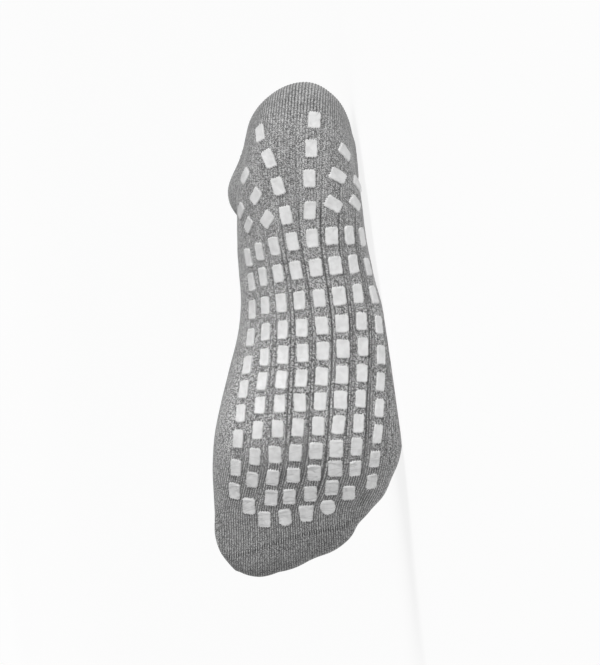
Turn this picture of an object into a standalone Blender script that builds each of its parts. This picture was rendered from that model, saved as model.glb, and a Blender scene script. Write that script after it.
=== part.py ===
"""Grip sock for the right foot: a knitted tube with printed grip pads and a ribbed cuff.

The sock keeps the shape of the foot and lies on its outer side. Its shape is worked out
in the frame of the foot, in metres: x runs from the back of the heel to the toes, y to
the inner side and z up from the sole. The last step lays it down, with the sole to -Y,
the heel to +X and the inner side up.
"""

import math
from collections import namedtuple

import bmesh
import bpy
import numpy as np
from mathutils import Vector

# Driving dimensions of the worn sock
FOOT_LENGTH = 0.250
BALL_WIDTH = 0.095
INSTEP_HEIGHT = 0.069
HEEL_WIDTH = 0.056
ANKLE_HEIGHT = 0.080
CUFF_BASE = 0.112
CUFF_HEIGHT = 0.025
LEG_WIDTH = 0.062
LEG_DEPTH = 0.074
KNIT_WALL = 0.0016
CUFF_WALL = 0.0022
CUFF_GAP = 0.0003

# The ankle bones that show through the knit
INNER_BONE_RISE = 0.0085
OUTER_BONE_RISE = 0.0035
BONE_SPREAD = 0.0135
INNER_BONE_PLACE = 0.255
OUTER_BONE_PLACE = 0.18
OUTER_BONE_DROP = 0.84
BONE_REACH = 0.35

# Printed grip pads
PAD_LENGTH = 0.0094
PAD_WIDTH = 0.0063
PAD_HEIGHT = 0.0009
PAD_ROOT = 0.0007
PAD_CORNER = 0.0009
ROW_PITCH = 0.0143
COLUMN_PITCH = 0.01015

# How far the knit flattens where it lies on the floor
REST_PRESS = 0.0014

# Fineness of the meshes, with two steps of the outer wall to each of the inner one
INSIDE_AROUND = 24
AROUND = 2 * INSIDE_AROUND
BODY_ROWS = 46
INSIDE_ROWS = 26
CUFF_ROWS = 4
ARC_STEPS = 20
PATH_STEPS = 400
PROBE_STEP = 0.002
# Where the first ring round the nose lies, as a share of the step to the next one
NOSE_SHARE = 0.35

# Cross sections of the foot, from the tip of the toes to the instep.
# place: share of the foot length from the heel. middle, inner, outer: where the sole line
# and the two edges lie, as shares of the ball width. sole, crown: heights as shares of the
# instep height. in_rise, out_rise: where each edge lies between sole and crown.
# in_power, out_power, top_power: roundness of each corner, 2 being an ellipse.
FootRow = namedtuple("FootRow", "place middle inner outer sole crown in_rise out_rise "
                                "in_power out_power top_power")
FOOT_ROWS = (
    FootRow(1.00, 0.27, 0.27, 0.27, 0.55, 0.55, 0.50, 0.50, 2.0, 2.0, 2.0),
    FootRow(0.97, 0.24, 0.44, 0.04, 0.44, 0.70, 0.50, 0.50, 2.2, 2.2, 2.2),
    FootRow(0.92, 0.14, 0.50, -0.215, 0.38, 0.765, 0.50, 0.48, 2.3, 2.3, 2.3),
    FootRow(0.86, 0.09, 0.506, -0.325, 0.27, 0.765, 0.48, 0.42, 2.3, 2.2, 2.3),
    FootRow(0.80, 0.04, 0.515, -0.430, 0.13, 0.740, 0.46, 0.38, 2.3, 2.2, 2.3),
    FootRow(0.73, 0.01, 0.509, -0.488, 0.01, 0.710, 0.44, 0.38, 2.3, 2.3, 2.2),
    FootRow(0.66, 0.00, 0.480, -0.469, 0.00, 0.750, 0.45, 0.36, 2.1, 2.4, 2.0),
    FootRow(0.57, -0.012, 0.420, -0.442, 0.03, 0.83, 0.50, 0.34, 1.8, 2.5, 1.9),
    FootRow(0.48, -0.012, 0.374, -0.401, 0.04, 0.93, 0.55, 0.34, 1.7, 2.5, 1.85),
)

# Sections that fan out round the front of the ankle, from the instep over the heel.
# sole_place, crown_place: shares of the foot length. sole, crown: shares of the ankle
# height. middle, inner, outer: shares of the heel width.
FanRow = namedtuple("FanRow", "sole_place crown_place sole crown middle inner outer in_rise "
                              "out_rise in_power out_power top_power")
FAN_ROWS = (
    FanRow(0.400, 0.412, 0.037, 0.880, 0.020, 0.630, -0.595, 0.55, 0.34, 1.7, 2.4, 1.85),
    FanRow(0.312, 0.382, 0.025, 0.960, 0.080, 0.650, -0.520, 0.50, 0.34, 1.9, 2.3, 1.9),
    FanRow(0.220, 0.370, 0.006, 1.025, 0.095, 0.645, -0.480, 0.42, 0.34, 2.2, 2.3, 1.9),
    FanRow(0.132, 0.364, 0.000, 1.075, 0.100, 0.620, -0.415, 0.33, 0.32, 2.4, 2.4, 1.9),
    FanRow(0.056, 0.360, 0.050, 1.125, 0.085, 0.590, -0.385, 0.30, 0.30, 2.0, 2.15, 1.9),
    FanRow(0.012, 0.356, 0.163, 1.169, 0.070, 0.580, -0.375, 0.31, 0.31, 1.9, 2.05, 1.9),
    FanRow(0.000, 0.354, 0.338, 1.212, 0.060, 0.580, -0.375, 0.33, 0.33, 1.85, 2.0, 1.9),
    FanRow(0.010, 0.352, 0.562, 1.256, 0.070, 0.600, -0.390, 0.38, 0.38, 1.8, 1.9, 1.9),
    FanRow(0.032, 0.350, 0.775, 1.294, 0.095, 0.625, -0.405, 0.45, 0.45, 1.75, 1.75, 1.9),
    FanRow(0.048, 0.349, 0.975, 1.325, 0.110, 0.640, -0.400, 0.48, 0.48, 1.8, 1.8, 1.95),
)

# Level sections of the leg. height: share of the way from the ankle bone to the cuff's
# base, and beyond 1 of the cuff. back: share of the foot length. inner, outer: shares of
# the leg width. depth: share of the leg depth.
LegRow = namedtuple("LegRow", "height back depth middle inner outer rise power")
LEG_ROWS = (
    LegRow(1.0, 0.052, 0.985, 0.118, 0.594, -0.355, 0.47, 1.95),
    LegRow(2.0, 0.042, 1.040, 0.118, 0.606, -0.368, 0.46, 2.0),
)

# The grip pads under the foot stand in rows across the sole, in columns that follow the
# wales of the knit. count: pads in the row. ahead: how far its middle is ahead of the
# first row's place. slant: how much further ahead each column to the inner side is. drop:
# how far the pads at its ends sit ahead of their columns' line. These three are shares of
# the row pitch. side: how far the row is moved to the inner side, in columns.
PadRow = namedtuple("PadRow", "count ahead slant drop side")
PAD_ROWS = (
    PadRow(8, -0.05, 0.111, 0.01, -0.04), PadRow(8, 0.98, 0.088, 0.11, 0.00),
    PadRow(8, 2.05, 0.083, 0.09, 0.05), PadRow(8, 3.01, 0.076, 0.16, 0.03),
    PadRow(8, 3.90, 0.073, 0.29, -0.01), PadRow(8, 4.79, 0.059, 0.30, 0.00),
    PadRow(8, 5.66, 0.048, 0.31, 0.01), PadRow(8, 6.53, 0.048, 0.34, 0.05),
    PadRow(8, 7.42, 0.073, 0.43, 0.08), PadRow(8, 8.30, 0.092, 0.49, -0.01),
    PadRow(6, 9.19, 0.118, 0.00, -0.12), PadRow(4, 9.97, 0.157, 0.00, -0.23),
)
# The first row's place as a share of the foot length
FIRST_ROW_PLACE = 0.320
# Shares of a row's drop at its inner and its outer end
INNER_END_DROP = 0.76
OUTER_END_DROP = 1.24

# The pads of the heel fan out from its middle. behind: rows behind the first row.
# side: columns from the sole line, to the inner side. turn: degrees, seen on the sole.
HeelPad = namedtuple("HeelPad", "behind side turn")
HEEL_PADS = (
    HeelPad(1.08, -0.50, 0), HeelPad(2.21, -0.51, 0), HeelPad(3.28, -0.62, 0),
    HeelPad(4.31, -0.72, 0),
    HeelPad(0.93, 0.69, -10), HeelPad(1.98, 1.06, -15), HeelPad(3.02, 1.53, -27),
    HeelPad(4.18, 2.19, -21),
    HeelPad(0.90, 1.73, 45), HeelPad(1.86, 2.36, 40), HeelPad(2.87, 3.20, 40),
    HeelPad(0.94, 3.08, 44), HeelPad(1.71, 3.75, 40),
    HeelPad(1.39, -1.72, -59), HeelPad(2.48, -2.02, -60), HeelPad(3.58, -2.63, -58),
    HeelPad(1.72, -3.23, -52), HeelPad(2.65, -3.77, -50),
)

Section = namedtuple("Section", "sole_x sole_z crown_x crown_z middle inner outer in_rise "
                                "out_rise in_power out_power top_power")


def foot_section(row):
    """Give a foot row its real sizes."""
    return Section(row.place * FOOT_LENGTH, row.sole * INSTEP_HEIGHT,
                   row.place * FOOT_LENGTH, row.crown * INSTEP_HEIGHT,
                   row.middle * BALL_WIDTH, row.inner * BALL_WIDTH, row.outer * BALL_WIDTH,
                   row.in_rise, row.out_rise, row.in_power, row.out_power, row.top_power)


def fan_section(row):
    """Give a heel and ankle row its real sizes."""
    return Section(row.sole_place * FOOT_LENGTH, row.sole * ANKLE_HEIGHT,
                   row.crown_place * FOOT_LENGTH, row.crown * ANKLE_HEIGHT,
                   row.middle * HEEL_WIDTH, row.inner * HEEL_WIDTH, row.outer * HEEL_WIDTH,
                   row.in_rise, row.out_rise, row.in_power, row.out_power, row.top_power)


def leg_section(row):
    """Give a leg row its real sizes."""
    if row.height <= 1.0:
        height = ANKLE_HEIGHT + row.height * (CUFF_BASE - ANKLE_HEIGHT)
    else:
        height = CUFF_BASE + (row.height - 1.0) * CUFF_HEIGHT
    back = row.back * FOOT_LENGTH
    return Section(back, height, back + row.depth * LEG_DEPTH, height,
                   row.middle * LEG_WIDTH, row.inner * LEG_WIDTH, row.outer * LEG_WIDTH,
                   row.rise, row.rise, row.power, row.power, row.power)


def through_the_tip(section):
    """Carry a section on through the tip of the toes, so that the nose comes out round."""
    return section._replace(sole_z=section.crown_z, crown_z=section.sole_z,
                            inner=section.outer, outer=section.inner)


def spline_slopes(knots, values):
    """Work out the slopes of a natural cubic spline at its knots."""
    count = len(knots)
    step = np.diff(knots)
    matrix = np.zeros((count, count))
    right = np.zeros((count, values.shape[1]))
    rise = np.diff(values, axis=0) / step[:, None]
    matrix[0, 0:2] = (2.0, 1.0)
    right[0] = 3.0 * rise[0]
    matrix[-1, -2:] = (1.0, 2.0)
    right[-1] = 3.0 * rise[-1]
    for i in range(1, count - 1):
        matrix[i, i - 1] = step[i]
        matrix[i, i] = 2.0 * (step[i - 1] + step[i])
        matrix[i, i + 1] = step[i - 1]
        right[i] = 3.0 * (step[i] * rise[i - 1] + step[i - 1] * rise[i])
    return np.linalg.solve(matrix, right)


def spline_value(knots, values, slopes, t):
    """Read the spline at one place."""
    i = int(np.clip(np.searchsorted(knots, t) - 1, 0, len(knots) - 2))
    step = knots[i + 1] - knots[i]
    s = (t - knots[i]) / step
    return ((2 * s**3 - 3 * s**2 + 1) * values[i] + (s**3 - 2 * s**2 + s) * step * slopes[i]
            + (3 * s**2 - 2 * s**3) * values[i + 1] + (s**3 - s**2) * step * slopes[i + 1])


class SockForm:
    """The outer surface of the sock, as a tube from the toes over the heel to the cuff."""

    def __init__(self):
        foot = [foot_section(row) for row in FOOT_ROWS]
        rest = [fan_section(row) for row in FAN_ROWS] + [leg_section(row) for row in LEG_ROWS]
        # The knots are spaced so that the nose closes like a dome, and go on over the heel
        # at the pace that this has come down to at the last foot row
        knots = [math.sqrt(max(1.0 - row.place, 0.0)) for row in FOOT_ROWS]
        pace = 1.0 / (2.0 * FOOT_LENGTH * knots[-1])
        before = foot[-1]
        for section in rest:
            run = math.hypot(section.sole_x - before.sole_x, section.sole_z - before.sole_z)
            knots.append(knots[-1] + pace * run)
            before = section
        ghosts = [through_the_tip(section) for section in reversed(foot[1:3])]
        self.knots = np.array([-knots[2], -knots[1]] + knots)
        self.values = np.array(ghosts + foot + rest)
        self.slopes = spline_slopes(self.knots, self.values)
        self.cuff_base = knots[-len(LEG_ROWS)]
        self.cuff_top = knots[-1]
        self.pace = pace
        # The length of the sole line, from the tip of the toes on
        self.path_t = np.linspace(0.0, self.cuff_top, PATH_STEPS)
        path = np.array([self.section(t)[0:2] for t in self.path_t])
        runs = np.hypot(*np.diff(path, axis=0).T)
        self.path_run = np.concatenate([[0.0], np.cumsum(runs)])
        self.path_x = path[:, 0]

    def section(self, t):
        """Read the section at a place along the tube."""
        return spline_value(self.knots, self.values, self.slopes, t)

    def outline(self, t):
        """Draw one section as a closed run of points, from the sole line to the inner side."""
        s = Section(*self.section(t))
        low = np.array([s.sole_x, s.sole_z])
        up = np.array([s.crown_x, s.crown_z]) - low
        ridge = 0.5 * (s.inner + s.outer)
        angle = np.linspace(0.0, math.pi / 2, ARC_STEPS + 1)
        corners = (
            (s.middle, 0.0, s.inner, s.in_rise, s.in_power, False),
            (ridge, 1.0, s.inner, s.in_rise, s.top_power, True),
            (ridge, 1.0, s.outer, s.out_rise, s.top_power, False),
            (s.middle, 0.0, s.outer, s.out_rise, s.out_power, True),
        )
        points = []
        for start, start_rise, edge, edge_rise, power, turned in corners:
            across = start + (edge - start) * np.sin(angle) ** (2.0 / power)
            rise = edge_rise + (start_rise - edge_rise) * np.cos(angle) ** (2.0 / power)
            if turned:
                across = across[::-1]
                rise = rise[::-1]
            place = low + rise[:, None] * up
            corner = np.column_stack([place[:, 0], across, place[:, 1]])
            points.append(corner[:-1])
        points.append(points[0][:1])
        return self.with_ankle_bones(np.concatenate(points))

    def with_ankle_bones(self, points):
        """Raise the knit over the two ankle bones."""
        bones = (
            (INNER_BONE_PLACE * FOOT_LENGTH, ANKLE_HEIGHT, 1.0, INNER_BONE_RISE),
            (OUTER_BONE_PLACE * FOOT_LENGTH, OUTER_BONE_DROP * ANKLE_HEIGHT, -1.0, OUTER_BONE_RISE),
        )
        raised = points.copy()
        for x, z, side, rise in bones:
            away = ((points[:, 0] - x) ** 2 + (points[:, 2] - z) ** 2) / BONE_SPREAD**2
            reach = np.clip(side * points[:, 1] / (BONE_REACH * HEEL_WIDTH), 0.0, 1.0)
            raised[:, 1] += side * rise * np.exp(-0.5 * away) * reach
        return raised

    def along(self, t, runs):
        """Give the points of a section at lengths of knit from the sole line."""
        points = self.outline(t)
        lengths = np.concatenate([[0.0], np.cumsum(np.linalg.norm(np.diff(points, axis=0), axis=1))])
        places = np.mod(runs, lengths[-1])
        return np.column_stack([np.interp(places, lengths, points[:, k]) for k in range(3)])

    def girth(self, t):
        """Measure once round a section."""
        points = self.outline(t)
        return float(np.sum(np.linalg.norm(np.diff(points, axis=0), axis=1)))

    def ring(self, t, count):
        """Give evenly spaced points round a section."""
        return self.along(t, np.arange(count) / count * self.girth(t))

    def at_run(self, run):
        """Find the place along the tube at a length of the sole line from the tip."""
        return float(np.interp(run, self.path_run, self.path_t))

    def run_at_place(self, place):
        """Find the length of the sole line from the tip to a share of the foot length."""
        last = int(np.argmax(self.path_x < place * FOOT_LENGTH)) + 1
        x = self.path_x[:last][::-1]
        run = self.path_run[:last][::-1]
        return float(np.interp(place * FOOT_LENGTH, x, run))


def ring_normals(rings):
    """Work out the outward direction at each point of a grid of rings."""
    along = np.gradient(rings, axis=0)
    around = np.roll(rings, -1, axis=1) - np.roll(rings, 1, axis=1)
    normal = np.cross(along, around)
    length = np.linalg.norm(normal, axis=2, keepdims=True)
    return normal / np.maximum(length, 1e-12)


def shell_rings(form, start, end, rows, count, depth, rounded):
    """Lay rings on the form between two places, sunk below it by a depth."""
    places = np.linspace(start, end, rows)
    if rounded:
        places[0] = NOSE_SHARE * places[1]
    rings = np.array([form.ring(t, count) for t in places])
    return rings - depth * ring_normals(rings)


def pad_shape(form, run, side, turn):
    """Shape one printed pad: a rectangle with clipped corners that follows the knit."""
    step = PROBE_STEP
    here = form.along(form.at_run(run), [side - step, side + step])
    to_inner = (here[1] - here[0]) / (2.0 * step)
    to_heel = (form.along(form.at_run(run + step), [side])[0]
               - form.along(form.at_run(run - step), [side])[0]) / (2.0 * step)
    normal = np.cross(to_heel, to_inner)
    normal = normal / np.linalg.norm(normal)
    long_way = -to_heel / np.linalg.norm(to_heel)
    short_way = np.cross(long_way, normal)
    # How far to go along and across the knit for a step on the surface
    ways = np.linalg.pinv(np.column_stack([to_heel, to_inner]))
    cos = math.cos(math.radians(turn))
    sin = math.sin(math.radians(turn))
    half_l = 0.5 * PAD_LENGTH
    half_w = 0.5 * PAD_WIDTH
    cut = PAD_CORNER
    outline = [(half_l - cut, half_w), (half_l, half_w - cut), (half_l, cut - half_w),
               (half_l - cut, -half_w), (cut - half_l, -half_w), (-half_l, cut - half_w),
               (-half_l, half_w - cut), (cut - half_l, half_w)]
    base = []
    for length, width in outline:
        reach = ((length * cos - width * sin) * long_way
                 + (length * sin + width * cos) * short_way)
        to_run, to_side = ways @ reach
        base.append(form.along(form.at_run(run + to_run), [side + to_side])[0])
    base = np.array(base)
    return np.concatenate([base - PAD_ROOT * normal, base + PAD_HEIGHT * normal])


def pad_places(form):
    """List the place of every pad: length along the sole line, side and turn."""
    first_run = form.run_at_place(FIRST_ROW_PLACE)
    places = []
    for row in PAD_ROWS:
        end_drops = [0.0] * row.count
        end_drops[0] = INNER_END_DROP * row.drop
        end_drops[-1] = OUTER_END_DROP * row.drop
        for i, end_drop in enumerate(end_drops):
            column = 0.5 * (row.count - 1) - i
            ahead = row.ahead + row.slant * column + end_drop
            places.append((first_run - ahead * ROW_PITCH, (column + row.side) * COLUMN_PITCH,
                           0.0))
    for pad in HEEL_PADS:
        places.append((first_run + pad.behind * ROW_PITCH, pad.side * COLUMN_PITCH, pad.turn))
    return places


def laid_down(points):
    """Turn points from the frame of the foot to the frame of the part."""
    return np.column_stack([-points[:, 0], points[:, 2], points[:, 1]])


def resting_turn(points, middle):
    """Find the turn that brings the side that the sock lies on to the floor."""
    mesh = bmesh.new()
    for point in points:
        mesh.verts.new(point)
    hull = bmesh.ops.convex_hull(mesh, input=mesh.verts)
    faces = [item for item in hull["geom"] if isinstance(item, bmesh.types.BMFace)]
    best = None
    for face in faces:
        normal = face.normal.copy()
        if normal.dot(face.calc_center_median() - middle) < 0:
            normal.negate()
        # A facet that lies straight under the centre of the sock can carry it
        drop = middle - normal * normal.dot(middle - face.verts[0].co)
        carries = bmesh.geometry.intersect_face_point(face, drop)
        if carries and (best is None or normal.z < best.z):
            best = normal
    mesh.free()
    if best is None:
        raise RuntimeError("the sock finds no side to lie on")
    return best.rotation_difference(Vector((0.0, 0.0, -1.0))).to_matrix()


def knit_centre(rings):
    """Find the centre of an even wall of knit."""
    across = rings[1:, :] - rings[:-1, :]
    around = np.roll(rings, -1, axis=1)[:-1] - rings[:-1]
    area = np.linalg.norm(np.cross(across, around), axis=2)
    return (rings[:-1] * area[:, :, None]).sum(axis=(0, 1)) / area.sum()


class Placing:
    """Sets the sock down on the floor, with the origin under the middle of its box."""

    def __init__(self, rings):
        points = laid_down(rings.reshape(-1, 3))
        centre = Vector(laid_down(knit_centre(rings)[None, :])[0])
        self.turn = np.array(resting_turn(points, centre))
        turned = points @ self.turn.T
        low = turned.min(axis=0)
        high = turned.max(axis=0)
        self.shift = -np.array([0.5 * (low[0] + high[0]), 0.5 * (low[1] + high[1]),
                                low[2] + REST_PRESS])

    def place(self, points, lift):
        """Place points, flattening them on the floor or at a lift above it."""
        placed = laid_down(points) @ self.turn.T + self.shift
        placed[:, 2] = np.maximum(placed[:, 2], lift)
        return placed


def material(name, colour, roughness):
    """Make a plain material."""
    made = bpy.data.materials.new(name)
    made.use_nodes = True
    shader = made.node_tree.nodes["Principled BSDF"]
    shader.inputs["Base Color"].default_value = (*colour, 1.0)
    shader.inputs["Roughness"].default_value = roughness
    made.diffuse_color = (*colour, 1.0)
    return made


def add_object(name, vertices, faces, finish):
    """Make a named object from a closed mesh."""
    mesh = bpy.data.meshes.new(name)
    mesh.from_pydata([tuple(v) for v in vertices], [], faces)
    mesh.update()
    mesh.materials.append(finish)
    made = bpy.data.objects.new(name, mesh)
    bpy.context.scene.collection.objects.link(made)
    return made


def ring_faces(first, rows, count, outward):
    """Join neighbouring rings of points with four-sided faces."""
    faces = []
    for i in range(rows - 1):
        for j in range(count):
            a = first + i * count + j
            b = first + i * count + (j + 1) % count
            face = (a, b, b + count, a + count)
            faces.append(face if outward else face[::-1])
    return faces


def build_body(form, placing, finish):
    """Build the knitted body: outer wall, inner wall, closed toes and open leg."""
    end = form.cuff_base - CUFF_GAP * form.pace
    outer = shell_rings(form, 0.0, end, BODY_ROWS, AROUND, 0.0, True)
    inner = shell_rings(form, 0.0, end, INSIDE_ROWS, INSIDE_AROUND, KNIT_WALL, True)
    # The inner rim stays level with the outer one
    inner[-1, :, 2] = outer[-1, :, 2].mean()
    tip = np.array([FOOT_LENGTH, FOOT_ROWS[0].middle * BALL_WIDTH,
                    FOOT_ROWS[0].sole * INSTEP_HEIGHT])
    inner_tip = tip - np.array([KNIT_WALL, 0.0, 0.0])
    outer_points = placing.place(np.vstack([outer.reshape(-1, 3), tip]), 0.0)
    inner_points = placing.place(np.vstack([inner.reshape(-1, 3), inner_tip]), KNIT_WALL)
    vertices = np.vstack([outer_points, inner_points])
    inner_first = len(outer_points)
    faces = ring_faces(0, BODY_ROWS, AROUND, False)
    faces += ring_faces(inner_first, INSIDE_ROWS, INSIDE_AROUND, True)
    outer_tip = inner_first - 1
    inner_tip_index = len(vertices) - 1
    for j in range(AROUND):
        faces.append((outer_tip, (j + 1) % AROUND, j)[::-1])
    for j in range(INSIDE_AROUND):
        faces.append((inner_tip_index, inner_first + j, inner_first + (j + 1) % INSIDE_AROUND)[::-1])
    outer_rim = (BODY_ROWS - 1) * AROUND
    inner_rim = inner_first + (INSIDE_ROWS - 1) * INSIDE_AROUND
    for j in range(INSIDE_AROUND):
        a = outer_rim + 2 * j
        c = outer_rim + (2 * j + 2) % AROUND
        p = inner_rim + j
        q = inner_rim + (j + 1) % INSIDE_AROUND
        faces += [(p, a + 1, a), (p, q, a + 1), (q, c, a + 1)]
    return add_object("knit_body", vertices, faces, finish)


def print_pads(form, placing, body, finish):
    """Fuse the printed pads to the knit, as the raised steps that they are."""
    vertices = []
    faces = []
    for run, side, turn in pad_places(form):
        pad = placing.place(pad_shape(form, run, side, turn), 0.0)
        first = len(vertices)
        corners = len(pad) // 2
        vertices.extend(pad)
        faces.append(tuple(range(first, first + corners)))
        faces.append(tuple(range(first + 2 * corners - 1, first + corners - 1, -1)))
        for j in range(corners):
            k = (j + 1) % corners
            faces.append((first + k, first + j, first + corners + j, first + corners + k))
    pads = add_object("pad_shapes", vertices, faces, finish)
    pads.hide_render = True
    pads.display_type = "WIRE"
    union = body.modifiers.new("printed_pads", "BOOLEAN")
    union.operation = "UNION"
    union.solver = "EXACT"
    union.object = pads
    return pads


def build_cuff(form, placing, finish):
    """Build the ribbed cuff, a band a little thicker than the leg that it ends."""
    proud = 0.5 * (CUFF_WALL - KNIT_WALL)
    outer = shell_rings(form, form.cuff_base, form.cuff_top, CUFF_ROWS, AROUND, -proud, False)
    inner = shell_rings(form, form.cuff_base, form.cuff_top, CUFF_ROWS, AROUND,
                        CUFF_WALL - proud, False)
    for ring in (0, -1):
        level = outer[ring, :, 2].mean()
        outer[ring, :, 2] = level
        inner[ring, :, 2] = level
    outer_points = placing.place(outer.reshape(-1, 3), 0.0)
    inner_points = placing.place(inner.reshape(-1, 3), CUFF_WALL)
    vertices = np.vstack([outer_points, inner_points])
    inner_first = len(outer_points)
    faces = ring_faces(0, CUFF_ROWS, AROUND, False)
    faces += ring_faces(inner_first, CUFF_ROWS, AROUND, True)
    last = (CUFF_ROWS - 1) * AROUND
    for j in range(AROUND):
        k = (j + 1) % AROUND
        faces.append((j, k, inner_first + k, inner_first + j))
        faces.append((last + k, last + j, inner_first + last + j, inner_first + last + k))
    return add_object("cuff", vertices, faces, finish)


def outer_rings(form):
    """Lay rings over the whole sock, from which it is seen how it lies."""
    places = np.linspace(0.0, form.cuff_top, BODY_ROWS + CUFF_ROWS)
    places[0] = NOSE_SHARE * places[1]
    return np.array([form.ring(t, AROUND) for t in places])


def clear_scene():
    """Start from an empty scene."""
    for item in list(bpy.data.objects):
        bpy.data.objects.remove(item, do_unlink=True)


def main():
    """Build the sock."""
    clear_scene()
    form = SockForm()
    placing = Placing(outer_rings(form))
    knit = material("heather_knit", (0.27, 0.27, 0.27), 0.95)
    rib = material("cuff_rib", (0.25, 0.25, 0.25), 0.95)
    grip = material("grip_silicone", (0.70, 0.70, 0.70), 0.45)
    body = build_body(form, placing, knit)
    print_pads(form, placing, body, grip)
    build_cuff(form, placing, rib)


main()
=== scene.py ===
"""Looks of a grip sock for the right foot, knitted in grey heather, that lies on its outer side.

The sock is drawn from the same driving dimensions and section tables as its solid. Places on
it are named as a knitter would: wales run along the tube, counted from the middle of the
sole, and courses run round it, counted from the toes.
"""

import logging
import math
from dataclasses import dataclass, field, replace
from enum import Enum

import bmesh
import bpy
import numpy as np
from mathutils import Matrix, Vector


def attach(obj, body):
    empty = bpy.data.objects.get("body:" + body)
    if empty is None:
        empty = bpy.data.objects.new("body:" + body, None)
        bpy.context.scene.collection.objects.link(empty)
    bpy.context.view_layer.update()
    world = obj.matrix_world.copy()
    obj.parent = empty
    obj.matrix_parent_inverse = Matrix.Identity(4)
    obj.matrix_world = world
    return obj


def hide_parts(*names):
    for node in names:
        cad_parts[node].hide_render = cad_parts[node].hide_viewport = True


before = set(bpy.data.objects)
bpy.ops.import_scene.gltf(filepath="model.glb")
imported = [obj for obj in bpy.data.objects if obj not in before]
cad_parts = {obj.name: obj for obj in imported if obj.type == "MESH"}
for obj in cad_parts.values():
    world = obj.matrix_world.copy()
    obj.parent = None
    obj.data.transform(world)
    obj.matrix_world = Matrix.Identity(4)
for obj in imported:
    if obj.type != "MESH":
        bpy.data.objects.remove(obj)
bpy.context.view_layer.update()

LOG = logging.getLogger("grip_sock")

MM = 0.001
FLOOR_CLEARANCE = 0.05 * MM
IMAGE_HEIGHT = 665
# What the seam attribute says of knit that has no seam near
NO_SEAM = 99.0


def linear(hex_colour: str) -> tuple[float, float, float, float]:
    """Turn an sRGB hex colour to linear light.

    Args:
        hex_colour: Six hex digits, with or without a leading hash.

    Returns:
        Red, green, blue and an alpha of one.
    """
    digits = hex_colour.lstrip("#")
    channels = []
    for start in (0, 2, 4):
        share = int(digits[start:start + 2], 16) / 255.0
        channels.append(share / 12.92 if share <= 0.04045 else ((share + 0.055) / 1.055) ** 2.4)
    return (channels[0], channels[1], channels[2], 1.0)


def smooth(value: np.ndarray, start: float, end: float) -> np.ndarray:
    """Rise softly from 0 at the start to 1 at the end, either of which may be the larger.

    Args:
        value: Where to read the step.
        start: Where it leaves 0.
        end: Where it reaches 1.

    Returns:
        The height of the step.
    """
    share = np.clip((np.asarray(value, float) - start) / (end - start), 0.0, 1.0)
    return share * share * (3.0 - 2.0 * share)


def ridge(distance: np.ndarray, half_width: float) -> np.ndarray:
    """Give the height of a soft ridge, 1 on its line and about 0.01 at three half widths."""
    return np.exp(-0.5 * (np.asarray(distance, float) / half_width) ** 2)


def drift(across: np.ndarray, along: np.ndarray, size: float, seed: int) -> np.ndarray:
    """Give smooth seeded unevenness over a surface.

    Args:
        across: First coordinate.
        along: Second coordinate, in the same unit.
        size: Rough size of a lump, in that unit.
        seed: Seed of the random waves.

    Returns:
        Heights between about -1 and 1.
    """
    random = np.random.default_rng(seed)
    total = np.zeros(np.broadcast(across, along).shape)
    waves = 7
    for _ in range(waves):
        heading = random.uniform(0.0, 2.0 * math.pi)
        pace = 2.0 * math.pi / (size * random.uniform(1.6, 3.4))
        phase = random.uniform(0.0, 2.0 * math.pi)
        total += np.sin(pace * (across * math.cos(heading) + along * math.sin(heading)) + phase)
    return total / math.sqrt(waves * 2.0)


@dataclass(frozen=True)
class FootRow:
    """A section of the foot: widths as shares of the ball width, heights of the instep height."""

    place: float
    middle: float
    inner: float
    outer: float
    sole: float
    crown: float
    in_rise: float
    out_rise: float
    in_power: float
    out_power: float
    top_power: float


@dataclass(frozen=True)
class FanRow:
    """A section that fans round the front of the ankle: shares of heel width, ankle height."""

    sole_place: float
    crown_place: float
    sole: float
    crown: float
    middle: float
    inner: float
    outer: float
    in_rise: float
    out_rise: float
    in_power: float
    out_power: float
    top_power: float


@dataclass(frozen=True)
class LegRow:
    """A level section of the leg: shares of the leg's width and depth."""

    height: float
    back: float
    depth: float
    middle: float
    inner: float
    outer: float
    rise: float
    power: float


@dataclass(frozen=True)
class AnkleBump:
    """A bump of the knit at the ankle, as shares of the foot length and ankle height."""

    place: float
    height: float
    side: float
    rise: float


FOOT_ROWS = (
    FootRow(1.00, 0.27, 0.27, 0.27, 0.55, 0.55, 0.50, 0.50, 2.0, 2.0, 2.0),
    FootRow(0.97, 0.24, 0.44, 0.04, 0.44, 0.70, 0.50, 0.50, 2.2, 2.2, 2.2),
    FootRow(0.92, 0.14, 0.50, -0.215, 0.38, 0.765, 0.50, 0.48, 2.3, 2.3, 2.3),
    FootRow(0.86, 0.09, 0.506, -0.325, 0.27, 0.765, 0.48, 0.42, 2.3, 2.2, 2.3),
    FootRow(0.80, 0.04, 0.515, -0.430, 0.13, 0.740, 0.46, 0.38, 2.3, 2.2, 2.3),
    FootRow(0.73, 0.01, 0.509, -0.488, 0.01, 0.710, 0.44, 0.38, 2.3, 2.3, 2.2),
    FootRow(0.66, 0.00, 0.480, -0.469, 0.00, 0.750, 0.45, 0.36, 2.1, 2.4, 2.0),
    FootRow(0.57, -0.012, 0.420, -0.442, 0.03, 0.83, 0.50, 0.34, 1.8, 2.5, 1.9),
    FootRow(0.48, -0.012, 0.374, -0.401, 0.04, 0.93, 0.55, 0.34, 1.7, 2.5, 1.85),
)

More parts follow.
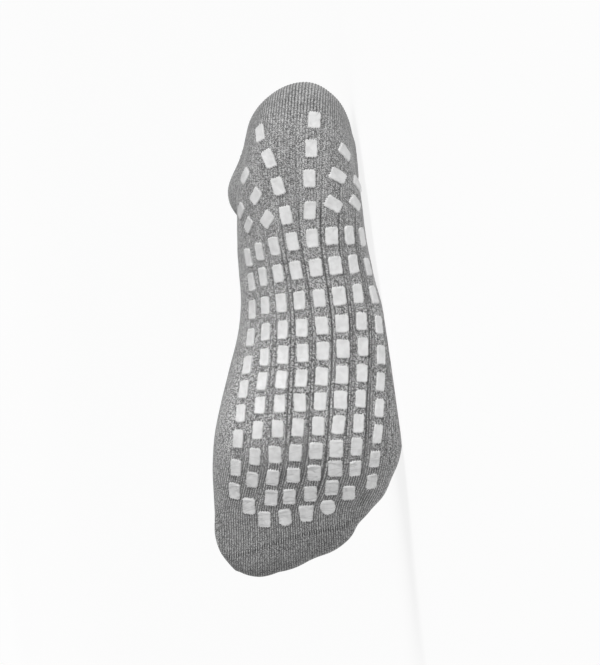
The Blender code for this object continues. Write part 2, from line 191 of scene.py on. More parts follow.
FAN_ROWS = (
    FanRow(0.400, 0.412, 0.037, 0.880, 0.020, 0.630, -0.595, 0.55, 0.34, 1.7, 2.4, 1.85),
    FanRow(0.312, 0.382, 0.025, 0.960, 0.080, 0.650, -0.520, 0.50, 0.34, 1.9, 2.3, 1.9),
    FanRow(0.220, 0.370, 0.006, 1.025, 0.095, 0.645, -0.480, 0.42, 0.34, 2.2, 2.3, 1.9),
    FanRow(0.132, 0.364, 0.000, 1.075, 0.100, 0.620, -0.415, 0.33, 0.32, 2.4, 2.4, 1.9),
    FanRow(0.056, 0.360, 0.050, 1.125, 0.085, 0.590, -0.385, 0.30, 0.30, 2.0, 2.15, 1.9),
    FanRow(0.012, 0.356, 0.163, 1.169, 0.070, 0.580, -0.375, 0.31, 0.31, 1.9, 2.05, 1.9),
    FanRow(0.000, 0.354, 0.338, 1.212, 0.060, 0.580, -0.375, 0.33, 0.33, 1.85, 2.0, 1.9),
    FanRow(0.010, 0.352, 0.562, 1.256, 0.070, 0.600, -0.390, 0.38, 0.38, 1.8, 1.9, 1.9),
    FanRow(0.032, 0.350, 0.775, 1.294, 0.095, 0.625, -0.405, 0.45, 0.45, 1.75, 1.75, 1.9),
    FanRow(0.048, 0.349, 0.975, 1.325, 0.110, 0.640, -0.400, 0.48, 0.48, 1.8, 1.8, 1.95),
)

LEG_ROWS = (
    LegRow(1.0, 0.052, 0.985, 0.118, 0.594, -0.355, 0.47, 1.95),
    LegRow(2.0, 0.042, 1.040, 0.118, 0.606, -0.368, 0.46, 2.0),
)

ANKLE_BUMPS = (
    AnkleBump(0.255, 1.0, 1.0, 8.5 * MM),
    AnkleBump(0.18, 0.84, -1.0, 3.5 * MM),
)


@dataclass(frozen=True)
class SockSizes:
    """Driving dimensions of the filled-out sock, in metres."""

    foot_length: float = 250.0 * MM
    ball_width: float = 95.0 * MM
    instep_height: float = 69.0 * MM
    heel_width: float = 56.0 * MM
    ankle_height: float = 80.0 * MM
    cuff_base: float = 112.0 * MM
    cuff_height: float = 25.0 * MM
    leg_width: float = 62.0 * MM
    leg_depth: float = 74.0 * MM
    knit_wall: float = 1.6 * MM
    cuff_wall: float = 2.2 * MM
    bump_spread: float = 13.5 * MM
    bump_reach: float = 0.35
    rest_press: float = 1.4 * MM


# What the numbers of a section stand for, in the order of its array
SECTION_FIELDS = ("sole_x", "sole_z", "crown_x", "crown_z", "middle", "inner", "outer", "in_rise",
                  "out_rise", "in_power", "out_power", "top_power")


@dataclass
class SockForm:
    """The smooth outer surface of the sock, in the frame of the foot.

    The frame has x from the back of the heel to the toes, y to the inner side of the foot
    and z up from the sole.
    """

    sizes: SockSizes = field(default_factory=SockSizes)
    arc_steps: int = 140
    path_steps: int = 400

    def __post_init__(self) -> None:
        """Fit the splines through the sections and measure the sole line."""
        foot = [self._foot_section(row) for row in FOOT_ROWS]
        rest = [self._fan_section(row) for row in FAN_ROWS]
        rest += [self._leg_section(row) for row in LEG_ROWS]
        # The knots are spaced so that the nose closes like a dome, and go on over the heel
        # at the pace that this has come down to at the last foot row
        knots = [math.sqrt(max(1.0 - row.place, 0.0)) for row in FOOT_ROWS]
        pace = 1.0 / (2.0 * self.sizes.foot_length * knots[-1])
        before = foot[-1]
        for section in rest:
            run = math.hypot(section[0] - before[0], section[1] - before[1])
            knots.append(knots[-1] + pace * run)
            before = section
        ghosts = [self._through_the_tip(section) for section in reversed(foot[1:3])]
        self.knots = np.array([-knots[2], -knots[1]] + knots)
        self.values = np.array(ghosts + foot + rest)
        self.slopes = self._spline_slopes()
        self.cuff_base = knots[-len(LEG_ROWS)]
        self.cuff_top = knots[-1]
        # The section from the front of the ankle to the point of the heel
        self.mitre = knots[len(FOOT_ROWS) + 4]
        self.path_t = np.linspace(0.0, self.cuff_top, self.path_steps)
        path = np.array([self.section(t)[0:2] for t in self.path_t])
        runs = np.hypot(*np.diff(path, axis=0).T)
        self.path_run = np.concatenate([[0.0], np.cumsum(runs)])
        self.path_x = path[:, 0]

    def _foot_section(self, row: FootRow) -> list[float]:
        """Give a foot row its real sizes.

        Args:
            row: Its shares.

        Returns:
            The numbers that SECTION_FIELDS names.
        """
        s = self.sizes
        return [row.place * s.foot_length, row.sole * s.instep_height,
                row.place * s.foot_length, row.crown * s.instep_height,
                row.middle * s.ball_width, row.inner * s.ball_width, row.outer * s.ball_width,
                row.in_rise, row.out_rise, row.in_power, row.out_power, row.top_power]

    def _fan_section(self, row: FanRow) -> list[float]:
        """Give a heel and ankle row its real sizes.

        Args:
            row: Its shares.

        Returns:
            The numbers that SECTION_FIELDS names.
        """
        s = self.sizes
        return [row.sole_place * s.foot_length, row.sole * s.ankle_height,
                row.crown_place * s.foot_length, row.crown * s.ankle_height,
                row.middle * s.heel_width, row.inner * s.heel_width, row.outer * s.heel_width,
                row.in_rise, row.out_rise, row.in_power, row.out_power, row.top_power]

    def _leg_section(self, row: LegRow) -> list[float]:
        """Give a leg row its real sizes.

        Args:
            row: Its shares.

        Returns:
            The numbers that SECTION_FIELDS names.
        """
        s = self.sizes
        if row.height <= 1.0:
            height = s.ankle_height + row.height * (s.cuff_base - s.ankle_height)
        else:
            height = s.cuff_base + (row.height - 1.0) * s.cuff_height
        back = row.back * s.foot_length
        return [back, height, back + row.depth * s.leg_depth, height,
                row.middle * s.leg_width, row.inner * s.leg_width, row.outer * s.leg_width,
                row.rise, row.rise, row.power, row.power, row.power]

    @staticmethod
    def _through_the_tip(section: list[float]) -> list[float]:
        """Carry a section on through the tip of the toes, so that the nose comes out round.

        Args:
            section: The section of a foot row.

        Returns:
            The same section turned over, to lie before the tip.
        """
        ghost = list(section)
        ghost[1], ghost[3] = section[3], section[1]
        ghost[5], ghost[6] = section[6], section[5]
        return ghost

    def _spline_slopes(self) -> np.ndarray:
        """Work out the slopes of a natural cubic spline at the knots.

        Returns:
            One slope for each knot and each number of a section.
        """
        count = len(self.knots)
        step = np.diff(self.knots)
        rise = np.diff(self.values, axis=0) / step[:, None]
        matrix = np.zeros((count, count))
        right = np.zeros((count, self.values.shape[1]))
        matrix[0, 0:2] = (2.0, 1.0)
        right[0] = 3.0 * rise[0]
        matrix[-1, -2:] = (1.0, 2.0)
        right[-1] = 3.0 * rise[-1]
        for i in range(1, count - 1):
            matrix[i, i - 1] = step[i]
            matrix[i, i] = 2.0 * (step[i - 1] + step[i])
            matrix[i, i + 1] = step[i - 1]
            right[i] = 3.0 * (step[i] * rise[i - 1] + step[i - 1] * rise[i])
        return np.linalg.solve(matrix, right)

    def section(self, t: float) -> np.ndarray:
        """Read the section at a place along the tube.

        Args:
            t: Place along the tube, in knots.

        Returns:
            The numbers that SECTION_FIELDS names.
        """
        last = len(self.knots) - 2
        i = int(np.clip(np.searchsorted(self.knots, t) - 1, 0, last))
        step = self.knots[i + 1] - self.knots[i]
        s = (t - self.knots[i]) / step
        return ((2 * s**3 - 3 * s**2 + 1) * self.values[i]
                + (s**3 - 2 * s**2 + s) * step * self.slopes[i]
                + (3 * s**2 - 2 * s**3) * self.values[i + 1]
                + (s**3 - s**2) * step * self.slopes[i + 1])

    def outline(self, t: float) -> np.ndarray:
        """Draw one section as a closed run of points, from the sole line to the inner side.

        Args:
            t: Place along the tube, in knots.

        Returns:
            Points in the frame of the foot, the last one the same as the first.
        """
        s = dict(zip(SECTION_FIELDS, self.section(t)))
        low = np.array([s["sole_x"], s["sole_z"]])
        up = np.array([s["crown_x"], s["crown_z"]]) - low
        top = 0.5 * (s["inner"] + s["outer"])
        angle = np.linspace(0.0, math.pi / 2, self.arc_steps + 1)
        corners = (
            (s["middle"], 0.0, s["inner"], s["in_rise"], s["in_power"], False),
            (top, 1.0, s["inner"], s["in_rise"], s["top_power"], True),
            (top, 1.0, s["outer"], s["out_rise"], s["top_power"], False),
            (s["middle"], 0.0, s["outer"], s["out_rise"], s["out_power"], True),
        )
        points = []
        for start, start_rise, edge, edge_rise, power, turned in corners:
            across = start + (edge - start) * np.sin(angle) ** (2.0 / power)
            rise = edge_rise + (start_rise - edge_rise) * np.cos(angle) ** (2.0 / power)
            if turned:
                across = across[::-1]
                rise = rise[::-1]
            place = low + rise[:, None] * up
            points.append(np.column_stack([place[:, 0], across, place[:, 1]])[:-1])
        points.append(points[0][:1])
        return self._with_ankle_bumps(np.concatenate(points))

    def _with_ankle_bumps(self, points: np.ndarray) -> np.ndarray:
        """Raise the knit in the two bumps at the ankle.

        Args:
            points: Points of a section, in the frame of the foot.

        Returns:
            The points, moved out to the side on each bump.
        """
        s = self.sizes
        raised = points.copy()
        for bump in ANKLE_BUMPS:
            x = bump.place * s.foot_length
            z = bump.height * s.ankle_height
            away = ((points[:, 0] - x) ** 2 + (points[:, 2] - z) ** 2) / s.bump_spread**2
            reach = np.clip(bump.side * points[:, 1] / (s.bump_reach * s.heel_width), 0.0, 1.0)
            raised[:, 1] += bump.side * bump.rise * np.exp(-0.5 * away) * reach
        return raised

    def along(self, t: float, runs: np.ndarray) -> np.ndarray:
        """Give the points of a section at lengths of knit from the sole line.

        Args:
            t: Place along the tube, in knots.
            runs: Lengths round the section, positive to the inner side.

        Returns:
            One point for each length.
        """
        points = self.outline(t)
        steps = np.linalg.norm(np.diff(points, axis=0), axis=1)
        lengths = np.concatenate([[0.0], np.cumsum(steps)])
        places = np.mod(runs, lengths[-1])
        return np.column_stack([np.interp(places, lengths, points[:, k]) for k in range(3)])

    def girth(self, t: float) -> float:
        """Measure once round a section."""
        return float(np.sum(np.linalg.norm(np.diff(self.outline(t), axis=0), axis=1)))

    def at_run(self, run: float) -> float:
        """Find the place along the tube at a length of the sole line from the tip."""
        return float(np.interp(run, self.path_run, self.path_t))

    def run_at_place(self, place: float) -> float:
        """Find the length of the sole line from the tip to a place along the foot.

        Args:
            place: The place, as a share of the foot length from the heel.

        Returns:
            The length in metres.
        """
        last = int(np.argmax(self.path_x < place * self.sizes.foot_length)) + 1
        x = self.path_x[:last][::-1]
        run = self.path_run[:last][::-1]
        return float(np.interp(place * self.sizes.foot_length, x, run))


def grid_normals(points: np.ndarray, closed: bool) -> np.ndarray:
    """Work out the outward direction at each point of a grid on the sock.

    Args:
        points: Rows along the tube by columns to the inner side, by three.
        closed: Whether the last column meets the first.

    Returns:
        Unit vectors in the shape of the points.
    """
    along = np.gradient(points, axis=0)
    if closed:
        around = np.roll(points, -1, axis=1) - np.roll(points, 1, axis=1)
    else:
        around = np.gradient(points, axis=1)
    normal = np.cross(along, around)
    length = np.linalg.norm(normal, axis=2, keepdims=True)
    return normal / np.maximum(length, 1e-12)


def closed_normals(points: np.ndarray) -> np.ndarray:
    """Work out the outward directions on a grid whose last column repeats the first."""
    normals = grid_normals(points[:, :-1], True)
    return np.concatenate([normals, normals[:, :1]], axis=1)


@dataclass
class Placing:
    """Sets the sock down as its solid lies: on its outer side, the origin under its middle."""

    form: SockForm
    body_rings: int = 46
    cuff_rings: int = 4
    around: int = 48
    nose_share: float = 0.35

    def __post_init__(self) -> None:
        """Find the side that the sock lies on, with the rings that its solid has."""
        coarse = replace(self.form, arc_steps=20)
        places = np.linspace(0.0, coarse.cuff_top, self.body_rings + self.cuff_rings)
        places[0] = self.nose_share * places[1]
        share = np.arange(self.around) / self.around
        rings = np.array([coarse.along(t, share * coarse.girth(t)) for t in places])
        points = self.laid_down(rings.reshape(-1, 3))
        centre = Vector(self.laid_down(self._knit_centre(rings)[None, :])[0])
        self.turn = np.array(self._resting_turn(points, centre))
        turned = points @ self.turn.T
        low = turned.min(axis=0)
        high = turned.max(axis=0)
        self.shift = -np.array([0.5 * (low[0] + high[0]), 0.5 * (low[1] + high[1]),
                                low[2] + self.form.sizes.rest_press])

    @staticmethod
    def laid_down(points: np.ndarray) -> np.ndarray:
        """Turn points from the frame of the foot to the frame of the part."""
        return np.column_stack([-points[:, 0], points[:, 2], points[:, 1]])

    @staticmethod
    def _knit_centre(rings: np.ndarray) -> np.ndarray:
        """Find the centre of an even wall of knit.

        Args:
            rings: Rings of points along the tube.

        Returns:
            The centre of its area.
        """
        across = rings[1:, :] - rings[:-1, :]
        around = np.roll(rings, -1, axis=1)[:-1] - rings[:-1]
        area = np.linalg.norm(np.cross(across, around), axis=2)
        return (rings[:-1] * area[:, :, None]).sum(axis=(0, 1)) / area.sum()

    @staticmethod
    def _resting_turn(points: np.ndarray, middle: Vector) -> Matrix:
        """Find the turn that brings the side that the sock lies on to the floor.

        Args:
            points: The points of its outer surface.
            middle: The centre of the knit.

        Returns:
            The turn, as a 3 by 3 matrix.
        """
        mesh = bmesh.new()
        for point in points:
            mesh.verts.new(point)
        hull = bmesh.ops.convex_hull(mesh, input=mesh.verts)
        best = None
        for face in [item for item in hull["geom"] if isinstance(item, bmesh.types.BMFace)]:
            normal = face.normal.copy()
            if normal.dot(face.calc_center_median() - middle) < 0:
                normal.negate()
            # A facet that lies straight under the centre of the sock can carry it
            drop = middle - normal * normal.dot(middle - face.verts[0].co)
            carries = bmesh.geometry.intersect_face_point(face, drop)
            if carries and (best is None or normal.z < best.z):
                best = normal
        mesh.free()
        return best.rotation_difference(Vector((0.0, 0.0, -1.0))).to_matrix()

    def place(self, points: np.ndarray, lift: float = FLOOR_CLEARANCE) -> np.ndarray:
        """Place points, flattening them where they would sink below a lift over the floor.

        Args:
            points: Points in the frame of the foot, in an array whose last side is three.
            lift: The lowest height that a point may have.

        Returns:
            The placed points, in the same shape.
        """
        placed = self.laid_down(points.reshape(-1, 3)) @ self.turn.T + self.shift
        placed[:, 2] = np.maximum(placed[:, 2], lift)
        return placed.reshape(points.shape)

    def aim(self, points: np.ndarray) -> np.ndarray:
        """Turn directions from the frame of the foot to the frame of the part."""
        return (self.laid_down(points.reshape(-1, 3)) @ self.turn.T).reshape(points.shape)


def feed(tree: bpy.types.NodeTree, node: bpy.types.Node, links: dict) -> None:
    """Give a node's inputs their values, or the outputs that feed them.

    Args:
        tree: The material's node tree.
        node: The node.
        links: For each input, by name or number, a value, an output, or a node whose first
            output is meant.
    """
    for name, source in links.items():
        if isinstance(source, bpy.types.Node):
            source = source.outputs[0]
        if isinstance(source, bpy.types.NodeSocket):
            tree.links.new(source, node.inputs[name])
        else:
            node.inputs[name].default_value = source


def add_node(tree: bpy.types.NodeTree, kind: str, links: dict | None = None,
             **settings: object) -> bpy.types.Node:
    """Add a node to a material, with its settings and links.

    Args:
        tree: The material's node tree.
        kind: Blender's name of the node's type.
        links: What feeds its inputs, as feed takes it.
        settings: Values of the node's own properties.

    Returns:
        The new node.
    """
    node = tree.nodes.new(kind)
    for name, value in settings.items():
        setattr(node, name, value)
    feed(tree, node, links or {})
    return node


def set_ramp(node: bpy.types.Node, stops: tuple[tuple[float, str], ...]) -> None:
    """Give a colour ramp its stops.

    Args:
        node: The colour ramp node.
        stops: Places from 0 to 1, each with its sRGB hex colour.
    """
    elements = node.color_ramp.elements
    while len(elements) < len(stops):
        elements.new(1.0)
    for element, (place, colour) in zip(elements, stops):
        element.position = place
        element.color = linear(colour)


def blank_material(name: str) -> tuple[bpy.types.Material, bpy.types.NodeTree, bpy.types.Node]:
    """Make a material that has only its shader and output.

    Args:
        name: The material's name.

    Returns:
        The material, its node tree and its Principled shader.
    """
    made = bpy.data.materials.new(name)
    made.use_nodes = True
    return made, made.node_tree, made.node_tree.nodes["Principled BSDF"]


@dataclass(frozen=True)
class HeatherKnit:
    """Cotton heather jersey: grey yarn spun from dark and pale fibres, circular knitted.

    To the eye it is matt and mottled, with a pale and a dark speckle in each stitch, soft
    ribs where the wales stand up and a faint bloom of loose fibre.
    """

    name: str = "cotton_heather_circular_knitted"
    dark_fibre: str = "505050"
    mid_fibre: str = "868686"
    pale_fibre: str = "BEBEBE"
    # Painted shade between the wales and in the sunken lines, and the dark of the toe seam's holes
    groove_shade: str = "262626"
    # Yarn fibres are about 0.02 mm thick. They are drawn as tufts of 0.5 mm, which is as
    # fine as the render shows.
    tuft_mm: float = 0.5
    stitch_depth: float = 0.26 * MM
    # The toe pocket's seam is about 1.4 mm wide to each side
    seam_mm: float = 1.4
    # Cotton is matt, and its bloom of fibre pales it at the edges
    roughness: float = 0.95
    specular: float = 0.15
    bloom: float = 0.22
    bloom_roughness: float = 0.6

    def _stitches(self, tree: bpy.types.NodeTree) -> dict[str, bpy.types.Node]:
        """Draw the wales and the stitches in them.

        Args:
            tree: The material's node tree.

        Returns:
            The nodes "place" (wale and course), "valley" (1 between two wales), "lean" (the
            course along a stitch's leg) and "stitch" (1 on the top of a stitch).
        """
        knit = add_node(tree, "ShaderNodeUVMap", uv_map="knit")
        # Slow wander of the yarn, so that no two stitches are alike
        wander = add_node(tree, "ShaderNodeTexNoise",
                          {"Vector": knit, "Scale": 0.45, "Detail": 1.0}, noise_dimensions="2D")
        centred = add_node(tree, "ShaderNodeVectorMath",
                           {0: wander.outputs["Color"], 1: (0.5, 0.5, 0.5)}, operation="SUBTRACT")
        pulled = add_node(tree, "ShaderNodeVectorMath",
                          {0: centred, 1: (0.22, 0.45, 0.0), 2: knit}, operation="MULTIPLY_ADD")
        place = add_node(tree, "ShaderNodeSeparateXYZ", {0: pulled})
        # Across a wale: 1 in the hollow beside it, where shade is painted, and 0 on its top
        inside = add_node(tree, "ShaderNodeMath", {0: place.outputs["X"]}, operation="FRACT")
        off = add_node(tree, "ShaderNodeMath", {0: inside, 1: 2.0, 2: -1.0},
                       operation="MULTIPLY_ADD")
        side = add_node(tree, "ShaderNodeMath", {0: off}, operation="ABSOLUTE")
        valley = add_node(tree, "ShaderNodeMath", {0: side, 1: 2.2}, operation="POWER")
        # The two legs of each stitch lean together like a V
        lean = add_node(tree, "ShaderNodeMath", {0: side, 1: 0.55, 2: place.outputs["Y"]},
                        operation="MULTIPLY_ADD")
        phase = add_node(tree, "ShaderNodeMath", {0: lean, 1: 2.0 * math.pi}, operation="MULTIPLY")
        wave = add_node(tree, "ShaderNodeMath", {0: phase}, operation="COSINE")
        stitch = add_node(tree, "ShaderNodeMath", {0: wave, 1: 0.5, 2: 0.5},
                          operation="MULTIPLY_ADD")
        return {"place": place, "valley": valley, "lean": lean, "stitch": stitch}

    def _yarn(self, tree: bpy.types.NodeTree, parts: dict[str, bpy.types.Node],
              tufts: bpy.types.Node, rib: bpy.types.Node) -> bpy.types.Node:
        """Colour the yarn by its own mix of dark and pale fibre, with painted highlights on the tops of the
        stitches and the ribs.

        Args:
            tree: The material's node tree.
            parts: The nodes of the stitches.
            tufts: The noise of the loose fibres.
            rib: The attribute that says where ribs show.

        Returns:
            The colour ramp of the yarn.
        """
        # Three strands lie in a wale, and the mix changes a little over twice in a course
        strand_number = add_node(tree, "ShaderNodeMath", {0: parts["place"].outputs["X"], 1: 3.0},
                                 operation="MULTIPLY")
        strand = add_node(tree, "ShaderNodeMath", {0: strand_number}, operation="FLOOR")
        twist_number = add_node(tree, "ShaderNodeMath", {0: parts["lean"], 1: 2.3},
                                operation="MULTIPLY")
        twist = add_node(tree, "ShaderNodeMath", {0: twist_number}, operation="FLOOR")
        stitch_place = add_node(tree, "ShaderNodeCombineXYZ", {0: strand, 1: twist})
        mix_of_fibre = add_node(tree, "ShaderNodeTexWhiteNoise", {"Vector": stitch_place},
                                noise_dimensions="2D")
        spread = add_node(tree, "ShaderNodeMath",
                          {0: mix_of_fibre.outputs["Value"], 1: 1.6, 2: -1.25},
                          operation="MULTIPLY_ADD")
        speckle = add_node(tree, "ShaderNodeMath", {0: tufts.outputs["Fac"], 1: 0.5, 2: spread},
                           operation="MULTIPLY_ADD")
        # Painted highlight: the top of each stitch is paler
        lit = add_node(tree, "ShaderNodeMath", {0: parts["stitch"], 1: 0.4, 2: speckle},
                       operation="MULTIPLY_ADD")
        # Where the ribs show, the speckle is calmer and the knit is painted paler, a painted highlight for
        # their tops
        mottle = add_node(tree, "ShaderNodeAttribute", attribute_name="mottle")
        level = add_node(tree, "ShaderNodeMath", {0: lit, 1: mottle.outputs["Fac"], 2: 0.57},
                         operation="MULTIPLY_ADD")
        bright = add_node(tree, "ShaderNodeMath", {0: rib.outputs["Fac"], 1: 0.12, 2: level},
                          operation="MULTIPLY_ADD")
        yarn = add_node(tree, "ShaderNodeValToRGB", {0: bright})
        set_ramp(yarn, ((0.20, self.dark_fibre), (0.57, self.mid_fibre), (0.95, self.pale_fibre)))
        return yarn

    def _painted_shade_and_holes(self, tree: bpy.types.NodeTree, valley: bpy.types.Node,
                     rib: bpy.types.Node) -> bpy.types.Node:
        """Find where the knit is painted dark: painted shade between ribs and in sunken lines, and holes at
        the toe seam.

        Args:
            tree: The material's node tree.
            valley: The node that is 1 between two wales.
            rib: The attribute that says where ribs show.

        Returns:
            The node that is 1 where it is darkest.
        """
        # Painted shade between two wales, strongest where the ribs show
        strength = add_node(tree, "ShaderNodeMath", {0: rib.outputs["Fac"], 1: 0.98, 2: 0.12},
                            operation="MULTIPLY_ADD")
        shade = add_node(tree, "ShaderNodeMath", {0: valley, 1: strength}, operation="MULTIPLY")
        # The seam of the toe pocket has a dark hole between each two wales
        seam = add_node(tree, "ShaderNodeAttribute", attribute_name="seam")
        from_seam = add_node(tree, "ShaderNodeMath", {0: seam.outputs["Fac"]}, operation="ABSOLUTE")
        near = add_node(tree, "ShaderNodeMath", {0: from_seam, 1: -1.0 / self.seam_mm, 2: 1.0},
                        operation="MULTIPLY_ADD", use_clamp=True)
        holes = add_node(tree, "ShaderNodeMath", {0: near, 1: valley, 2: shade},
                         operation="MULTIPLY_ADD")
        # Painted shade in the sunken lines
        line = add_node(tree, "ShaderNodeAttribute", attribute_name="groove_shade")
        return add_node(tree, "ShaderNodeMath", {0: holes, 1: line.outputs["Fac"]},
                        operation="MAXIMUM")

    def build(self) -> bpy.types.Material:
        """Make the material.

        Returns:
            The knit, which reads the map "knit" and the attributes rib, mottle, seam, groove_shade
            and tone.
        """
        made, tree, shader = blank_material(self.name)
        place = add_node(tree, "ShaderNodeTexCoord")
        tufts = add_node(tree, "ShaderNodeTexNoise",
                         {"Vector": place.outputs["Object"],
                          "Scale": 1.0 / (self.tuft_mm * MM), "Detail": 1.0, "Roughness": 0.6},
                         noise_dimensions="3D")
        rib = add_node(tree, "ShaderNodeAttribute", attribute_name="rib")
        parts = self._stitches(tree)
        yarn = self._yarn(tree, parts, tufts, rib)
        # Painted shade between the wales and in the sunken lines, and the seam's dark holes, mixed into the
        # yarn
        dark = self._painted_shade_and_holes(tree, parts["valley"], rib)
        mixed = add_node(tree, "ShaderNodeMix", {0: dark, 6: yarn, 7: linear(self.groove_shade)},
                         data_type="RGBA")
        # Tone of the knit, darker between a column's pads, with painted shade at the toes and the heel's
        # back and a painted highlight on the inner side
        tone = add_node(tree, "ShaderNodeAttribute", attribute_name="tone")
        toned = add_node(tree, "ShaderNodeVectorMath",
                         {0: mixed.outputs[2], "Scale": tone.outputs["Fac"]}, operation="SCALE")
        # Height of the wale, its stitches and its loose fibre
        hump = add_node(tree, "ShaderNodeMath", {0: 1.0, 1: parts["valley"]}, operation="SUBTRACT")
        body = add_node(tree, "ShaderNodeMath", {0: parts["stitch"], 1: 0.45, 2: 0.55},
                        operation="MULTIPLY_ADD")
        raised = add_node(tree, "ShaderNodeMath", {0: hump, 1: body}, operation="MULTIPLY")
        fuzzy = add_node(tree, "ShaderNodeMath", {0: tufts.outputs["Fac"], 1: 0.5, 2: raised},
                         operation="MULTIPLY_ADD")
        bump = add_node(tree, "ShaderNodeBump",
                        {"Strength": 0.75, "Distance": self.stitch_depth, "Height": fuzzy})
        feed(tree, shader, {"Base Color": toned, "Normal": bump, "Roughness": self.roughness,
                            "Specular IOR Level": self.specular, "Sheen Weight": self.bloom,
                            "Sheen Roughness": self.bloom_roughness})
        return made


@dataclass(frozen=True)
class PrintedSilicone:
    """White silicone, screen printed on the knit and cured in the oven.

    It looks milky and a little wet: a soft gloss with small bright glints, a thin bright
    bead round its edge and the knit showing faintly through its top.
    """

    name: str = "white_silicone_screen_printed"
    body: str = "D2D2D2"
    thin: str = "C6C6C6"
    # Painted shade in the cracks of the bent pads
    crack_shade: str = "A2A2A2"
    # Dimples where the print dips into the stitches, at the wales' real pitch
    dimple_mm: float = 1.3
    # Cracks across the print where it bends at the toes, 2 to 3 mm apart
    crack_mm: float = 2.6
    crack_stretch: float = 0.22
    relief: float = 0.35 * MM
    roughness: float = 0.38
    ior: float = 1.41
    milk: float = 0.15
    milk_depth: float = 0.6 * MM

    def build(self) -> bpy.types.Material:
        """Make the material.

        Returns:
            The silicone, which reads the attribute bent.
        """
        made, tree, shader = blank_material(self.name)
        place = add_node(tree, "ShaderNodeTexCoord").outputs["Object"]
        cloud = add_node(tree, "ShaderNodeTexNoise",
                         {"Vector": place, "Scale": 1.0 / (3.0 * self.dimple_mm * MM),
                          "Detail": 2.0})
        colour = add_node(tree, "ShaderNodeValToRGB", {0: cloud.outputs["Fac"]})
        set_ramp(colour, ((0.34, self.thin), (0.62, self.body)))
        # Fine cracks across the pads that bend at the toes, darkened with painted shade
        across = 1.0 / (self.crack_mm * MM)
        along = self.crack_stretch * across
        spread = add_node(tree, "ShaderNodeVectorMath", {0: place, 1: (across, along, along)},
                          operation="MULTIPLY")
        folds = add_node(tree, "ShaderNodeTexNoise",
                         {"Vector": spread, "Scale": 1.0, "Detail": 1.0})
        off = add_node(tree, "ShaderNodeMath", {0: folds.outputs["Fac"], 1: 0.5},
                       operation="SUBTRACT")
        away = add_node(tree, "ShaderNodeMath", {0: off}, operation="ABSOLUTE")
        crack = add_node(tree, "ShaderNodeMath", {0: away, 1: -22.0, 2: 1.0},
                         operation="MULTIPLY_ADD", use_clamp=True)
        bent = add_node(tree, "ShaderNodeAttribute", attribute_name="bent")
        shown = add_node(tree, "ShaderNodeMath", {0: crack, 1: bent.outputs["Fac"]},
                         operation="MULTIPLY")
        cracked = add_node(tree, "ShaderNodeMix", {0: shown, 6: colour, 7: linear(self.crack_shade)},
                           data_type="RGBA")
        dimples = add_node(tree, "ShaderNodeTexNoise",
                           {"Vector": place, "Scale": 1.0 / (self.dimple_mm * MM), "Detail": 1.0})
        height = add_node(tree, "ShaderNodeMath", {0: shown, 1: -0.8, 2: dimples.outputs["Fac"]},
                          operation="MULTIPLY_ADD")
        bump = add_node(tree, "ShaderNodeBump",
                        {"Strength": 0.8, "Distance": self.relief, "Height": height})
        feed(tree, shader, {"Base Color": cracked.outputs[2], "Normal": bump,
                            "Roughness": self.roughness, "IOR": self.ior,
                            "Subsurface Weight": self.milk,
                            "Subsurface Radius": (1.0, 1.0, 1.0),
                            "Subsurface Scale": self.milk_depth})
        return made


def ring_quads(low: int, high: int, count: int) -> list[tuple[int, int, int, int]]:
    """Join two closed rings of vertices by four-sided faces.

    Args:
        low: The number of the first ring's first vertex.
        high: The number of the second ring's first vertex.
        count: How many vertices each ring has.

    Returns:
        The faces.
    """
    after = [(j + 1) % count for j in range(count)]
    return [(low + j, high + j, high + k, low + k) for j, k in enumerate(after)]


def quad_corners(low: np.ndarray, high: np.ndarray) -> list[list[float]]:
    """Give the places on a flat map of the corners of the faces that join two rings.

    Args:
        low: Two numbers for each vertex of the first ring, and once more for its end.
        high: The same for the second ring.

    Returns:
        Two numbers for each corner, in the order of ring_quads.
    """
    return np.stack([low[:-1], high[:-1], high[1:], low[1:]], axis=1).reshape(-1, 2).tolist()


def make_object(name: str, points: np.ndarray, faces: list, finish: bpy.types.Material) -> bpy.types.Object:
    """Make a smooth mesh piece of the sock that rides on its one body.

    Args:
        name: The piece's name.
        points: Its vertices in the frame of the part.
        faces: Its faces, as tuples of vertex numbers.
        finish: Its material.

    Returns:
        The new object.
    """
    mesh = bpy.data.meshes.new(name)
    mesh.from_pydata(np.asarray(points).reshape(-1, 3).tolist(), [], faces)
    mesh.update()
    mesh.shade_smooth()
    mesh.materials.append(finish)
    made = bpy.data.objects.new(name, mesh)
    bpy.context.scene.collection.objects.link(made)
    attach(made, "root")
    LOG.info("%s: %d faces", name, len(mesh.polygons))
    return made


def point_values(made: bpy.types.Object, name: str, values: np.ndarray) -> None:
    """Store one number for each vertex of a piece, for its material.

    Args:
        made: The piece.
        name: The attribute's name.
        values: The numbers, in the order of the vertices.
    """
    attribute = made.data.attributes.new(name, "FLOAT", "POINT")
    attribute.data.foreach_set("value", np.asarray(values, np.float32).ravel())


def corner_map(made: bpy.types.Object, name: str, corners: np.ndarray) -> None:
    """Store a flat place for each face corner of a piece, for its material.

    Args:
        made: The piece.
        name: The map's name.
        corners: Two numbers for each face corner, in the order of the corners.
    """
    layer = made.data.uv_layers.new(name=name)
    layer.uv.foreach_set("vector", np.asarray(corners, np.float32).ravel())


@dataclass(frozen=True)
class PitchStop:
    """How wide a wale is at a length of the sole line from the tip, both in millimetres."""

    run: float
    pitch: float


